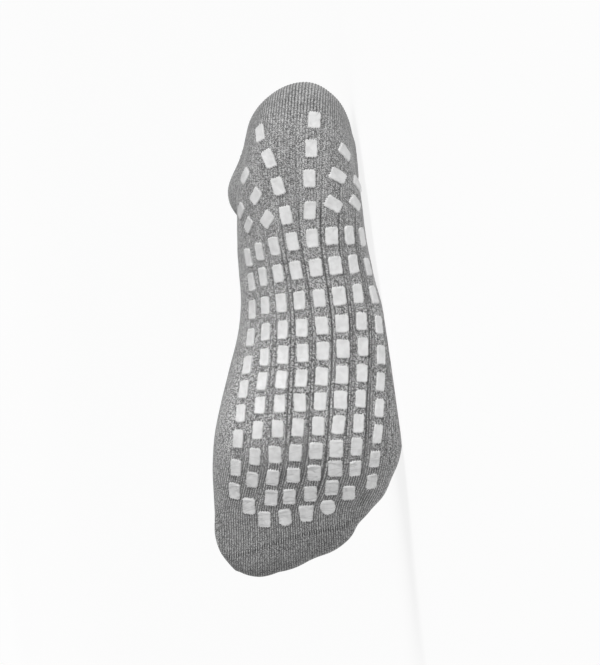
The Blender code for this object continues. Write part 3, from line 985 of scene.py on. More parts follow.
@dataclass(frozen=True)
class Gauge:
    """How the sock is knitted: 160 wales, of which 92 pass under the sole."""

    sole_wales: int = 46
    top_wales: int = 34
    column_wales: int = 8
    sole_samples: int = 4
    top_samples: int = 2
    course_mm: float = 1.0
    # The knit is stretched most over the heel, and least at the toes
    pitches: tuple[PitchStop, ...] = (
        PitchStop(0, 1.15), PitchStop(35, 1.20), PitchStop(60, 1.269), PitchStop(175, 1.269),
        PitchStop(245, 1.62), PitchStop(290, 1.62), PitchStop(335, 1.35), PitchStop(400, 1.35))
    # The most of half the girth that the sole's wales take, where the toes close
    sole_share: float = 0.72

    def wales(self) -> np.ndarray:
        """Number the wales at the mesh's columns, from crown to crown past the sole.

        Returns:
            One more number than there are columns, from minus to plus half the wales.
        """
        sole = np.arange(self.sole_wales * self.sole_samples + 1) / self.sole_samples
        top = self.sole_wales + np.arange(1, self.top_wales * self.top_samples + 1) / self.top_samples
        half = np.concatenate([sole, top])
        return np.concatenate([-half[::-1], half[1:]])

    def pitch(self, run: float) -> float:
        """Give the width of a wale under the sole.

        Args:
            run: Length of the sole line from the tip, in metres.

        Returns:
            The width in metres.
        """
        runs = [stop.run * MM for stop in self.pitches]
        return float(np.interp(run, runs, [stop.pitch * MM for stop in self.pitches]))

    def lengths(self, run: float, girth: float) -> np.ndarray:
        """Give the length round the section to each column of the mesh.

        Args:
            run: Length of the sole line from the tip, in metres.
            girth: Once round the section, in metres.

        Returns:
            Lengths from the sole line, from minus to plus half the girth.
        """
        wale = self.wales()
        half = 0.5 * girth
        sole = min(self.sole_wales * self.pitch(run), self.sole_share * half)
        under = sole * np.clip(np.abs(wale) / self.sole_wales, 0.0, 1.0)
        over = (half - sole) * np.clip((np.abs(wale) - self.sole_wales) / self.top_wales, 0.0, 1.0)
        return np.sign(wale) * (under + over)


@dataclass(frozen=True)
class Crease:
    """A soft fold across the knit.

    Lengths are in millimetres: run along the sole line from the tip, side from the sole
    line, half its length, its turn in degrees from straight across, its depth (a ridge is
    negative) and its half width.
    """

    run: float
    side: float
    reach: float
    turn: float
    depth: float
    width: float


@dataclass(frozen=True)
class Swell:
    """A soft rise of the knit.

    Lengths are in millimetres: from the heel, to the inner side, how far it reaches and how
    high it stands (a hollow is negative).
    """

    along: float
    side: float
    reach: float
    height: float


SWELLS = (
    Swell(250.0, 30.0, 9.0, 1.3),
    Swell(245.0, 6.0, 9.0, 1.4),
    Swell(236.0, -11.0, 10.0, 1.2),
    Swell(224.0, -25.0, 6.0, -1.2),
    Swell(209.0, -37.0, 10.0, 1.6),
    Swell(57.0, 41.0, 15.0, 2.0),
    Swell(52.0, -27.0, 12.0, 1.0),
)


def swelling(points: np.ndarray) -> np.ndarray:
    """Add up the soft swells of the toes and the ankle.

    Args:
        points: Points on the smooth form.

    Returns:
        How far the knit stands out there, in metres.
    """
    total = np.zeros(points.shape[:-1])
    for swell in SWELLS:
        away = np.hypot(points[..., 0] / MM - swell.along, points[..., 1] / MM - swell.side)
        total += swell.height * MM * ridge(away, 0.6 * swell.reach)
    return total


@dataclass(frozen=True)
class SunkenLine:
    """A line where the knit sinks between two wales, beside the columns of pads, darkened with painted
    shade.

    Gap counts the gaps between columns to the inner side, off is how many wales the line
    lies from the gap's middle, and start and end are runs from the tip in millimetres.
    """

    gap: int
    off: float
    start: float
    end: float
    strength: float


SUNKEN_LINES = (
    SunkenLine(3, -0.9, 50, 205, 0.35), SunkenLine(3, 0.9, 50, 120, 0.30),
    SunkenLine(2, -0.8, 45, 215, 0.50), SunkenLine(2, 0.9, 45, 150, 0.50),
    SunkenLine(1, -0.8, 42, 225, 0.80), SunkenLine(1, 0.9, 42, 180, 0.80),
    SunkenLine(0, 0.3, 40, 205, 0.80), SunkenLine(0, -1.0, 40, 150, 0.65),
    SunkenLine(0, 1.0, 215, 250, 0.35), SunkenLine(1, 0.0, 212, 240, 0.35),
    SunkenLine(-1, 0.4, 218, 250, 0.45), SunkenLine(-1, -2.0, 190, 235, 0.35),
    SunkenLine(-2, -1.0, 205, 235, 0.40),
    SunkenLine(0, 1.2, 45, 235, 0.50),
    SunkenLine(-1, 0.4, 40, 205, 1.00), SunkenLine(-1, -1.2, 40, 190, 0.65),
    SunkenLine(-2, 1.1, 40, 225, 0.85), SunkenLine(-2, -0.1, 45, 185, 0.70),
    SunkenLine(-2, -1.1, 40, 200, 0.60),
    SunkenLine(-3, 1.1, 45, 205, 0.90), SunkenLine(-3, 0.0, 50, 190, 0.80),
    SunkenLine(-3, -1.1, 50, 185, 0.65),
    SunkenLine(-4, 0.9, 60, 150, 0.60), SunkenLine(-4, -0.3, 60, 140, 0.55),
)


@dataclass
class KnitBody:
    """The foot, heel and leg, knitted whole, with the toes closed."""

    form: SockForm
    placing: Placing
    gauge: Gauge
    rows: int = 176
    toe_rows: int = 34
    toe_run: float = 46.0 * MM
    nose_rows: int = 5
    nose_run: float = 7.0 * MM
    inside_rows: int = 60
    inside_columns: int = 84
    tuck: float = 1.0 * MM
    wale_height: float = 0.10 * MM
    groove_depth: float = 0.34 * MM
    lines: tuple[SunkenLine, ...] = SUNKEN_LINES
    # How wide a sunken line is and how far it wanders, in wales
    line_half_width: float = 0.29
    line_sway: float = 0.16
    unevenness: float = 0.22 * MM
    plain_mottle: float = 0.6
    # Over the toes the wales run straight: where their middle lies and where they have the
    # pitch that they keep, both in metres
    toe_middle: float = 8.5 * MM
    toe_pitch_run: float = 30.0 * MM
    # Where the toe pocket's seam runs, under and over the toes, in millimetres from the heel
    seam_sides: tuple[float, ...] = (-40.0, -18.0, 3.0, 40.0)
    seam_under: tuple[float, ...] = (212.0, 224.0, 228.0, 240.0)
    seam_over: tuple[float, ...] = (206.0, 219.0, 226.0, 234.0)
    seam_height: float = 0.5 * MM
    creases: tuple[Crease, ...] = (
        Crease(47.0, 6.0, 24.0, 4.0, 0.55, 1.6),
        Crease(60.0, 4.0, 26.0, 3.0, 0.45, 1.8),
        Crease(73.0, -6.0, 20.0, -2.0, 0.30, 2.0),
        Crease(150.0, 30.0, 14.0, 20.0, 0.35, 3.0),
    )

    def __post_init__(self) -> None:
        """Lay the fine grid over the form and map it as a knitter counts."""
        last_run = float(np.interp(self.form.cuff_base, self.form.path_t, self.form.path_run))
        self.runs = np.concatenate([
            np.linspace(self.nose_run, self.toe_run, self.toe_rows, endpoint=False),
            np.linspace(self.toe_run, last_run + self.tuck, self.rows - self.toe_rows)])
        self.places = np.array([self.form.at_run(run) for run in self.runs])
        self.wale = self.gauge.wales()
        rings = []
        sides = []
        for t, run in zip(self.places, self.runs):
            lengths = self.gauge.lengths(run, self.form.girth(t))
            rings.append(self.form.along(t, lengths))
            sides.append(lengths)
        self.smooth_points = np.array(rings)
        self.side = np.array(sides)
        self.normals = closed_normals(self.smooth_points)

    def _grooves(self) -> np.ndarray:
        """Mark the sunken lines on both sides of each column of pads, which sink the knit and carry its
        painted shade.

        Returns:
            From 0 on even knit to 1 on the deepest line, over the grid.
        """
        column = self.gauge.column_wales
        run = self.runs[:, None] / MM
        total = np.zeros(self.side.shape)
        for line in self.lines:
            number = line.gap * column + line.off
            along = smooth(run, line.start - 9.0, line.start + 9.0)
            along = along * smooth(run, line.end + 12.0, line.end - 12.0)
            sway = self.line_sway * drift(run, np.array(6.0 * number), 34.0, 13)
            dip = ridge(self.wale - number - sway, self.line_half_width)
            total = np.maximum(total, line.strength * along * dip)
        streaks = 0.85 + 0.15 * drift(self.wale[None, :] * 3.0, run, 16.0, 11)
        return np.clip(total * streaks, 0.0, 1.0)

    def _rib_show(self) -> np.ndarray:
        """Say how clearly single wales show as ribs: at the toes, the heel's back and the sides.

        Returns:
            From 0 to 1, over the grid.
        """
        # Runs from the tip and lengths to the side are in millimetres, here and below
        run = self.runs[:, None] / MM
        side = np.abs(self.side) / MM
        toes = smooth(run, 86.0, 60.0) * (1.0 - 0.12 * smooth(run, 42.0, 30.0))
        heel = 0.35 * smooth(run, 160.0, 205.0) + 0.65 * smooth(run, 236.0, 252.0)
        heel = heel * smooth(side, 50.0, 34.0)
        outer = 0.55 * smooth(-self.side / MM, 30.0, 42.0) * smooth(run, 150.0, 100.0)
        leg = 0.5 * smooth(run, 300.0, 330.0)
        facing = 1.0 - 0.9 * toes * smooth(np.abs(self.normals[:, :, 1]), 0.55, 0.9)
        total = np.maximum(np.maximum(toes, heel), np.maximum(outer, leg))
        patches = 0.86 + 0.14 * drift(self.side / MM, run, 9.0, 12)
        return np.clip(total * facing * patches, 0.0, 1.0)

    def _past_seam(self) -> np.ndarray:
        """Measure how far each point lies past the toe pocket's seam.

        Returns:
            Millimetres past the seam towards the tip, less than 0 behind it.
        """
        along = self.smooth_points[:, :, 0] / MM
        side = self.smooth_points[:, :, 1] / MM
        under = np.interp(side, self.seam_sides, self.seam_under)
        over = np.interp(side, self.seam_sides, self.seam_over)
        share = smooth(self.normals[:, :, 2], -0.3, 0.5)
        return along - (1.0 - share) * under - share * over

    def _mottle(self) -> np.ndarray:
        """Say how strong the heather's speckle is: weak on ribs, the heel and the margins.

        Returns:
            A share of the full strength, over the grid.
        """
        run = self.runs[:, None] / MM
        margin = smooth(self.side / MM, 36.0, 46.0) * smooth(run, 30.0, 60.0)
        heel = smooth(run, 120.0, 180.0)
        outer = 0.5 * smooth(-self.side / MM, 40.0, 50.0)
        calm = np.maximum(np.maximum(0.7 * margin, outer), np.maximum(0.75 * heel, self._rib_show()))
        return 1.0 - 0.68 * calm

    def _tone_and_painted_light(self) -> np.ndarray:
        """Say how pale the knit looks: paler beside the gaps between columns, darker between a
        column's pads and a little paler at the waist, with painted shade past the toe seam, towards
        the tip and on the heel's back, and a painted highlight on the inner side.

        Returns:
            A share of the yarn's own colour, over the grid.
        """
        run = self.runs[:, None] / MM
        column = self.gauge.column_wales
        from_gap = np.abs(self.wale - column * np.round(self.wale / column))
        pads = smooth(run, 34.0, 50.0) * smooth(run, 250.0, 235.0)
        pads = pads * smooth(np.abs(self.wale), 4.6 * column, 4.2 * column)
        dark = 0.06 + 0.07 * smooth(run, 92.0, 78.0)
        bands = 0.07 * smooth(from_gap, 2.4, 1.4) - dark * smooth(from_gap, 2.0, 3.2)
        # Painted highlight: the inner side of the sole is paler
        inner = 0.10 * smooth(self.side / MM, 34.0, 46.0) * smooth(run, 40.0, 80.0)
        # Painted shade at the toes: darker past the toe seam and most at the tip
        toes = 0.08 * smooth(self._past_seam(), -1.0, 3.0) + 0.24 * smooth(run, 58.0, 4.0)
        # Painted shade on the heel's back
        heel = 0.08 * smooth(run, 238.0, 256.0) * smooth(run, 310.0, 290.0)
        waist = 0.035 * smooth(run, 120.0, 150.0) * smooth(run, 200.0, 178.0)
        return 1.0 + pads * bands + inner + waist - toes - heel

    def _crease_depth(self) -> np.ndarray:
        """Add up the listed folds.

        Returns:
            How deep the knit lies in them, in metres.
        """
        run = self.runs[:, None] / MM
        side = self.side / MM
        total = np.zeros(self.side.shape)
        for crease in self.creases:
            cos = math.cos(math.radians(crease.turn))
            sin = math.sin(math.radians(crease.turn))
            across = (side - crease.side) * cos + (run - crease.run) * sin
            off = (run - crease.run) * cos - (side - crease.side) * sin
            fold = ridge(off, crease.width) - 0.45 * ridge(off - 2.4 * crease.width, 1.3 * crease.width)
            total += crease.depth * MM * fold * ridge(across, 0.6 * crease.reach)
        return total

    def relief(self) -> np.ndarray:
        """Work out how far the knit stands off the smooth form.

        Returns:
            Heights in metres.
        """
        run = self.runs[:, None] / MM
        inside = np.abs(self.wale - np.round(self.wale)) * 2.0
        ribs = (0.5 - inside) * self.wale_height * (0.6 + 1.4 * self._rib_show())
        ribs = ribs * smooth(run, 14.0, 30.0)
        grooves = -self._grooves() * self.groove_depth
        lumps = self.unevenness * (drift(self.side / MM, run, 16.0, 21)
                                   + 0.5 * drift(self.side / MM, run, 7.0, 22))
        seam = self.seam_height * ridge(self._past_seam(), 1.3) * smooth(self.normals[:, :, 2], 0.0, 0.4)
        return ribs + grooves + lumps + seam + swelling(self.smooth_points) - self._crease_depth()

    def courses(self) -> tuple[np.ndarray, np.ndarray]:
        """Number the courses over the grid, from the toes and down from the cuff.

        Returns:
            The numbers that hold ahead of the heel's mitre and those that hold behind it.
        """
        steps = np.linalg.norm(np.diff(self.smooth_points, axis=0), axis=2)
        zero = np.zeros((1, steps.shape[1]))
        from_toe = np.concatenate([zero, np.cumsum(steps, axis=0)]) + self.nose_run
        whole = from_toe[-1, len(self.wale) // 2]
        from_cuff = whole - (from_toe[-1] - from_toe)
        course = self.gauge.course_mm * MM
        return from_toe / course, from_cuff / course

    def _toe_wales(self, side: np.ndarray) -> np.ndarray:
        """Number the wales that run straight over the toes, by their place to the side."""
        return (side - self.toe_middle) / self.gauge.pitch(self.toe_pitch_run)

    def _wale_map(self) -> np.ndarray:
        """Number the wales over the grid, running straight over the toes to their tip.

        Returns:
            The numbers, whole in the grooves between two wales.
        """
        run = self.runs[:, None] / MM
        pitch = np.array([self.gauge.pitch(r) for r in self.runs])[:, None]
        true_pitch = np.gradient(self.side, axis=1) / np.gradient(self.wale)[None, :]
        counted = np.broadcast_to(self.wale, self.side.shape)
        squeezed = np.where(np.abs(self.wale) <= self.gauge.sole_wales, self.side / pitch, counted)
        straight = self._toe_wales(self.smooth_points[:, :, 1])
        toe = smooth(run, 52.0, 26.0)
        keep = np.where(true_pitch < 0.98 * pitch, squeezed, counted)
        return (1.0 - toe) * keep + toe * straight

    def build(self, finish: bpy.types.Material) -> bpy.types.Object:
        """Build the body as one closed wall.

        Args:
            finish: The knit.

        Returns:
            The piece.
        """
        points = self.smooth_points + self.relief()[:, :, None] * self.normals
        outer = points[:, :-1]
        count = outer.shape[1]
        wale = self._wale_map()
        from_toe, from_cuff = self.courses()
        behind = self.places > self.form.mitre
        vertices = [self.placing.place(outer).reshape(-1, 3)]
        faces = []
        corners = []
        for i in range(self.rows - 1):
            course = from_cuff if behind[i] and behind[i + 1] else from_toe
            faces += ring_quads(i * count, (i + 1) * count, count)
            corners += quad_corners(np.column_stack([wale[i], course[i]]),
                                    np.column_stack([wale[i + 1], course[i + 1]]))
        vertices.append(self._nose(faces, corners, count, np.column_stack([wale[0], from_toe[0]])))
        first_inside = self.rows * count + len(vertices[1])
        vertices.append(self._inside(faces, corners, first_inside, count))
        made = make_object("sock_body", np.vstack(vertices), faces, finish)
        corner_map(made, "knit", np.array(corners))
        # What each attribute says of the outer knit, and of the nose and the lining
        rib = self._rib_show()[:, :-1]
        tone = self._tone_and_painted_light()[:, :-1]
        # groove_shade carries painted shade, and tone carries painted shade and a painted highlight besides
        # the knit's tone
        known = {"rib": (rib, rib[0].mean()), "groove_shade": (self._grooves()[:, :-1], 0.0),
                 "mottle": (self._mottle()[:, :-1], self.plain_mottle),
                 "tone": (tone, tone[0].mean()), "seam": (self._past_seam()[:, :-1], NO_SEAM)}
        rest = sum(len(block) for block in vertices[1:])
        for name, (outside, elsewhere) in known.items():
            point_values(made, name, np.concatenate([outside.ravel(), np.full(rest, elsewhere)]))
        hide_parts("knit_body")
        return made

    def _nose(self, faces: list, corners: list, count: int, fine_map: np.ndarray) -> np.ndarray:
        """Close the tip of the toes with coarser rings and a last point.

        Args:
            faces: The faces so far, to which the nose's are added.
            corners: The map's corners so far.
            count: Columns of the fine grid.
            fine_map: Wales and courses at the first fine ring.

        Returns:
            The nose's own vertices, placed.
        """
        first = self.rows * count
        coarse = count // 4
        rings = []
        maps = []
        for share in np.arange(self.nose_rows - 1, 0, -1) / self.nose_rows:
            run = self.nose_run * share
            t = self.form.at_run(run)
            ring = self.form.along(t, self.gauge.lengths(run, self.form.girth(t))[:-1:4])
            rings.append(ring)
            flat = np.column_stack([self._toe_wales(ring[:, 1]), np.full(coarse, run / MM)])
            maps.append(np.vstack([flat, flat[:1]]))
        # From the fine ring to the first coarse one, four fine steps to a coarse one
        for c in range(coarse):
            d = (c + 1) % coarse
            fine = [((4 * c + s) % count, fine_map[4 * c + s]) for s in range(5)]
            a = (first + c, maps[0][c])
            b = (first + d, maps[0][d])
            for piece in ((a, fine[0], fine[1]), (a, fine[1], fine[2]), (a, fine[2], b),
                          (b, fine[2], fine[3]), (b, fine[3], fine[4])):
                faces.append(tuple(number for number, _ in piece))
                corners.extend(tuple(place) for _, place in piece)
        for r in range(len(rings) - 1):
            faces += ring_quads(first + (r + 1) * coarse, first + r * coarse, coarse)
            corners += quad_corners(maps[r + 1], maps[r])
        tip_section = self.form.section(0.0)
        tip = np.array([tip_section[0], tip_section[4], tip_section[1]])
        last = first + (len(rings) - 1) * coarse
        for c in range(coarse):
            d = (c + 1) % coarse
            faces.append((last + coarse, last + c, last + d))
            corners.extend(((self._toe_wales(tip[1]), 0.0), tuple(maps[-1][c]), tuple(maps[-1][d])))
        return self.placing.place(np.vstack(rings + [tip[None, :]]))

    def _inside(self, faces: list, corners: list, first: int, count: int) -> np.ndarray:
        """Line the body with the inner side of its wall, down to a closed end at the toes.

        Args:
            faces: The faces so far, to which the lining's are added.
            corners: The map's corners so far.
            first: The number of the lining's first vertex.
            count: Columns of the fine grid.

        Returns:
            The lining's vertices, placed.
        """
        wall = self.form.sizes.knit_wall
        columns = self.inside_columns
        runs = np.linspace(2.0 * self.nose_run, self.runs[-1], self.inside_rows)
        rings = []
        for run in runs:
            t = self.form.at_run(run)
            rings.append(self.form.along(t, (np.arange(columns) / columns - 0.5) * self.form.girth(t)))
        rings = np.array(rings)
        rings = rings - wall * grid_normals(rings, True)
        end = rings[0].mean(axis=0)
        vertices = np.vstack([rings.reshape(-1, 3), end[None, :]])
        pitch = 2.0 * (self.gauge.sole_wales + self.gauge.top_wales) / columns
        for i in range(self.inside_rows - 1):
            for c in range(columns):
                d = (c + 1) % columns
                a = first + i * columns
                b = a + columns
                faces.append((a + c, a + d, b + d, b + c))
                low = runs[i] / MM
                high = runs[i + 1] / MM
                corners.extend(((c * pitch, low), ((c + 1) * pitch, low),
                                ((c + 1) * pitch, high), (c * pitch, high)))
        for c in range(columns):
            faces.append((first + self.inside_rows * columns, first + (c + 1) % columns, first + c))
            corners.extend(((0.0, 0.0), (0.0, 1.0), (1.0, 1.0)))
        # The rim at the leg's end, where six fine steps meet one of the lining's
        step = count // columns
        outer_rim = (self.rows - 1) * count
        inner_rim = first + (self.inside_rows - 1) * columns
        for c in range(columns):
            a = inner_rim + c
            b = inner_rim + (c + 1) % columns
            fan = [outer_rim + (c * step + s) % count for s in range(step + 1)]
            half = step // 2
            for s in range(step):
                corner = a if s < half else b
                faces.append((corner, fan[s + 1], fan[s]))
                corners.extend(((0.0, 0.0), (1.0, 1.0), (0.0, 1.0)))
            faces.append((a, b, fan[half]))
            corners.extend(((0.0, 0.0), (1.0, 0.0), (0.5, 1.0)))
        return self.placing.place(vertices, wall)


class PadShape(Enum):
    """The outlines that the printed pads have come out with."""

    RECTANGLE = "rectangle"
    ROUND = "round"
    CLIPPED = "clipped"
    FIVE_SIDED = "five_sided"


@dataclass(frozen=True)
class HeelPad:
    """A pad of the heel: rows behind the first row, columns to the inner side, turn in degrees.

    Skew is how far its long sides lean, as the knit is pulled askew beside the heel.
    """

    behind: float
    side: float
    turn: float
    skew: float = 0.0


HEEL_PADS = (
    HeelPad(1.08, -0.50, 0), HeelPad(2.21, -0.51, 0), HeelPad(3.28, -0.62, 0),
    HeelPad(4.31, -0.72, 0),
    HeelPad(0.93, 0.69, -10), HeelPad(1.98, 1.06, -15), HeelPad(3.02, 1.53, -27),
    HeelPad(4.18, 2.19, -21),
    HeelPad(0.90, 1.73, 45, -0.14), HeelPad(1.86, 2.36, 43, -0.16),
    HeelPad(2.87, 3.20, 44, -0.20),
    HeelPad(0.94, 3.08, 46, -0.20), HeelPad(1.71, 3.75, 46, -0.20),
    HeelPad(1.39, -1.72, -59), HeelPad(2.48, -2.02, -60), HeelPad(3.58, -2.63, -58),
    HeelPad(1.72, -3.15, -50), HeelPad(2.65, -3.60, -48),
)


@dataclass(frozen=True)
class PadRow:
    """A row of pads: how many, how far ahead of the first row, how it slants and bows.

    Ahead, slant to the inner side for each column, and the drop of its two ends are shares
    of the row pitch. Side is how far the row is moved to the inner side, in columns.
    """

    count: int
    ahead: float
    slant: float
    drop: float
    side: float


PAD_ROWS = (
    PadRow(8, -0.05, 0.111, 0.01, -0.04), PadRow(8, 0.98, 0.088, 0.11, 0.00),
    PadRow(8, 2.05, 0.083, 0.09, 0.05), PadRow(8, 3.01, 0.076, 0.16, 0.03),
    PadRow(8, 3.90, 0.073, 0.29, -0.01), PadRow(8, 4.79, 0.059, 0.30, 0.00),
    PadRow(8, 5.66, 0.048, 0.31, 0.01), PadRow(8, 6.53, 0.048, 0.34, 0.05),
    PadRow(8, 7.42, 0.073, 0.43, 0.08), PadRow(8, 8.30, 0.092, 0.49, -0.01),
    PadRow(6, 9.19, 0.118, 0.19, -0.12), PadRow(4, 10.04, 0.157, -0.10, -0.23),
)


@dataclass(frozen=True)
class Slip:
    """How far a pad has slipped in print: ahead in rows, to the inner side in columns, degrees."""

    ahead: float
    side: float
    turn: float = 0.0


# The pads that slipped, by row and column
SLIPS = {
    (8, 0): Slip(0.04, -0.10, -12), (9, 0): Slip(0.02, -0.24, -6), (9, 5): Slip(-0.09, 0.0),
    (10, 0): Slip(0.02, -0.14), (10, 1): Slip(-0.08, -0.12), (10, 4): Slip(-0.15, 0.04),
    (10, 5): Slip(-0.04, 0.10), (11, 3): Slip(0.0, 0.03),
}

# The pads of the last row that came out in another shape, by row and column
ODD_SHAPES = {(11, 1): PadShape.CLIPPED, (11, 2): PadShape.FIVE_SIDED, (11, 3): PadShape.ROUND}

# The rings of a pad above its edge: how far in, as a share of half its width, and how high,
# as a share of its height
PAD_PROFILE = ((0.01, 0.42), (0.06, 0.70), (0.12, 0.90), (0.19, 1.0), (0.30, 0.98),
               (0.46, 0.89), (0.65, 0.85), (0.84, 0.84))


@dataclass(frozen=True)
class PadPlace:
    """Where a pad is printed, in metres along and across the sole, with its turn in degrees."""

    row: int
    run: float
    side: float
    turn: float
    shape: PadShape
    long_share: float
    wide_share: float
    skew: float = 0.0


@dataclass
class SoleMap:
    """A quick reading of the smooth surface round the sole line."""

    form: SockForm
    step: float = 1.0 * MM
    half_width: float = 62.0 * MM

    def __post_init__(self) -> None:
        """Lay a plain grid over the sole and the heel."""
        self.run = np.arange(4.0 * MM, self.form.path_run[-1], self.step)
        self.across = np.arange(-self.half_width, self.half_width + self.step, self.step)
        self.points = np.array([self.form.along(self.form.at_run(r), self.across)
                                for r in self.run])
        out = grid_normals(self.points, False)
        self.points = self.points + swelling(self.points)[:, :, None] * out
        self.normals = grid_normals(self.points, False)

    def read(self, run: np.ndarray, side: np.ndarray) -> tuple[np.ndarray, np.ndarray]:
        """Read points and normals between the grid's own.

        Args:
            run: Lengths along the sole line from the tip, in metres.
            side: Lengths to the inner side, in metres.

        Returns:
            The points and the outward unit vectors.
        """
        i = np.clip((np.asarray(run) - self.run[0]) / self.step, 0, len(self.run) - 1.001)
        j = np.clip((np.asarray(side) - self.across[0]) / self.step, 0, len(self.across) - 1.001)
        i0 = i.astype(int)
        j0 = j.astype(int)
        a = (i - i0)[..., None]
        b = (j - j0)[..., None]
        found = []
        for source in (self.points, self.normals):
            found.append((1 - a) * (1 - b) * source[i0, j0] + (1 - a) * b * source[i0, j0 + 1]
                         + a * (1 - b) * source[i0 + 1, j0] + a * b * source[i0 + 1, j0 + 1])
        length = np.linalg.norm(found[1], axis=-1, keepdims=True)
        return found[0], found[1] / length


@dataclass
class GripPads:
    """The silicone pads printed under the foot and fanned out over the heel."""

    form: SockForm
    placing: Placing
    length: float = 9.4 * MM
    width: float = 6.3 * MM
    height: float = 0.9 * MM
    root: float = 0.45 * MM
    row_pitch: float = 14.3 * MM
    column_pitch: float = 10.15 * MM
    first_row_place: float = 0.320
    # The whole print sits this much nearer the toes
    print_shift: float = 0.45 * MM
    inner_end_drop: float = 0.76
    outer_end_drop: float = 1.24
    corner_cut: float = 0.75 * MM
    # The print is narrower where it climbs the edges of the sole, from the inner column out
    column_widths: tuple[float, ...] = (0.86, 0.87, 0.94, 0.97, 1.03, 1.06, 0.87, 0.77)
    # The six and the four pads of the last two rows
    six_widths: tuple[float, ...] = (1.00, 1.02, 0.98, 1.02, 1.04, 1.03)
    four_widths: tuple[float, ...] = (1.00, 1.05, 1.25, 1.27)
    # The last rows are printed shorter and turned a little, in degrees
    row_lengths: tuple[float, ...] = (1.0,) * 8 + (0.98, 0.98, 0.98, 1.0)
    row_turns: tuple[float, ...] = (0.0,) * 8 + (-2.0, -9.0, -13.0, -15.0)
    # How much the print of the last rows is cracked
    bent_rows: tuple[float, ...] = (0.0,) * 8 + (0.30, 0.55, 0.55, 0.45)
    # The print is spread wide at the toes, and shrinks where the knit is pulled askew
    toe_spread: float = 1.07
    skewed_length: float = 0.88
    # Teeth where the ends cross the wales, small waves along the sides, and a rough edge
    tooth_pitch: float = 1.27 * MM
    tooth_depth: float = 0.32 * MM
    wave_pitch: float = 1.10 * MM
    wave_depth: float = 0.16 * MM
    rough_depth: float = 0.18 * MM
    rough_mm: float = 1.1
    edge_points: int = 80
    seed: int = 5

    def __post_init__(self) -> None:
        """Map the surface and start the random unevenness."""
        self.surface = SoleMap(self.form)
        self.random = np.random.default_rng(self.seed)

    def places(self) -> list[PadPlace]:
        """List the place of every pad.

        Returns:
            The pads, row by row from the heel to the toes, then those of the heel.
        """
        widths = {8: self.column_widths, 6: self.six_widths, 4: self.four_widths}
        first_run = self.form.run_at_place(self.first_row_place) - self.print_shift
        found = []
        for k, row in enumerate(PAD_ROWS):
            end_drops = [0.0] * row.count
            end_drops[0] = self.inner_end_drop * row.drop
            end_drops[-1] = self.outer_end_drop * row.drop
            for i, end_drop in enumerate(end_drops):
                column = 0.5 * (row.count - 1) - i
                ahead = row.ahead + row.slant * column + end_drop
                wide = widths[row.count][i] * (self.toe_spread if k in (8, 9) else 1.0)
                slip = SLIPS.get((k, i), Slip(0.0, 0.0))
                found.append(PadPlace(k, first_run - (ahead + slip.ahead) * self.row_pitch,
                                      (column + row.side + slip.side) * self.column_pitch,
                                      self.row_turns[k] + slip.turn,
                                      ODD_SHAPES.get((k, i), PadShape.RECTANGLE),
                                      self.row_lengths[k], wide))
        for pad in HEEL_PADS:
            wide = 1.0 - 0.18 * float(smooth(np.array(abs(pad.side)), 1.6, 3.0))
            found.append(PadPlace(len(PAD_ROWS), first_run + pad.behind * self.row_pitch,
                                  pad.side * self.column_pitch, pad.turn, PadShape.RECTANGLE,
                                  self.skewed_length if pad.skew else 1.0, wide, pad.skew))
        return found

    def _outline(self, shape: PadShape, long_share: float, wide_share: float) -> np.ndarray:
        """Draw a pad's edge, uneven as the print dips between wales and courses.

        Args:
            shape: The outline that it has come out with.
            long_share: Its length as a share of the usual.
            wide_share: Its width as a share of the usual.

        Returns:
            Points of length and width from the pad's middle, in metres.
        """
        half_l = 0.5 * self.length * long_share * (1.0 + 0.02 * self.random.standard_normal())
        half_w = 0.5 * self.width * wide_share * (1.0 + 0.02 * self.random.standard_normal())
        cut = min(self.corner_cut, 0.3 * half_w)
        foot_cut = 2.4 * cut if shape is PadShape.CLIPPED else cut
        foot_w = 0.76 * half_w if shape is PadShape.FIVE_SIDED else half_w
        if shape is PadShape.ROUND:
            angle = np.arange(24) / 24 * 2.0 * math.pi
            corners = np.column_stack([half_l * np.maximum(np.cos(angle), -0.86),
                                       half_w * np.sin(angle)])
        else:
            corners = np.array([
                (half_l, foot_w - foot_cut), (half_l - foot_cut, foot_w), (cut - half_l, half_w),
                (-half_l, half_w - cut), (-half_l, cut - half_w), (cut - half_l, -half_w),
                (half_l - foot_cut, -foot_w), (half_l, foot_cut - foot_w)])
        # Even steps along the edge, then a little rounding
        closed = np.vstack([corners, corners[:1]])
        walked = np.concatenate([[0.0], np.cumsum(np.linalg.norm(np.diff(closed, axis=0), axis=1))])
        stops = np.arange(self.edge_points) / self.edge_points * walked[-1]
        edge = np.column_stack([np.interp(stops, walked, closed[:, k]) for k in range(2)])
        edge = 0.6 * edge + 0.2 * np.roll(edge, 1, axis=0) + 0.2 * np.roll(edge, -1, axis=0)
        along, across = edge.T
        end = smooth(np.abs(along) / half_l, 0.84, 0.97)
        teeth = np.cos(2.0 * math.pi * across / self.tooth_pitch + self.random.uniform(0, 6.3))
        waves = np.cos(2.0 * math.pi * along / self.wave_pitch + self.random.uniform(0, 6.3))
        along = along + np.sign(along) * end * self.tooth_depth * teeth
        across = across + np.sign(across) * (1.0 - end) * self.wave_depth * waves
        seed = int(self.random.integers(1e6))
        rough = self.rough_depth * drift(along / MM, across / MM, self.rough_mm, seed)
        swell = 1.0 + rough / np.hypot(along, across)
        skew = 0.03 * self.random.standard_normal()
        return np.column_stack([along * swell, across * swell + skew * along * swell])

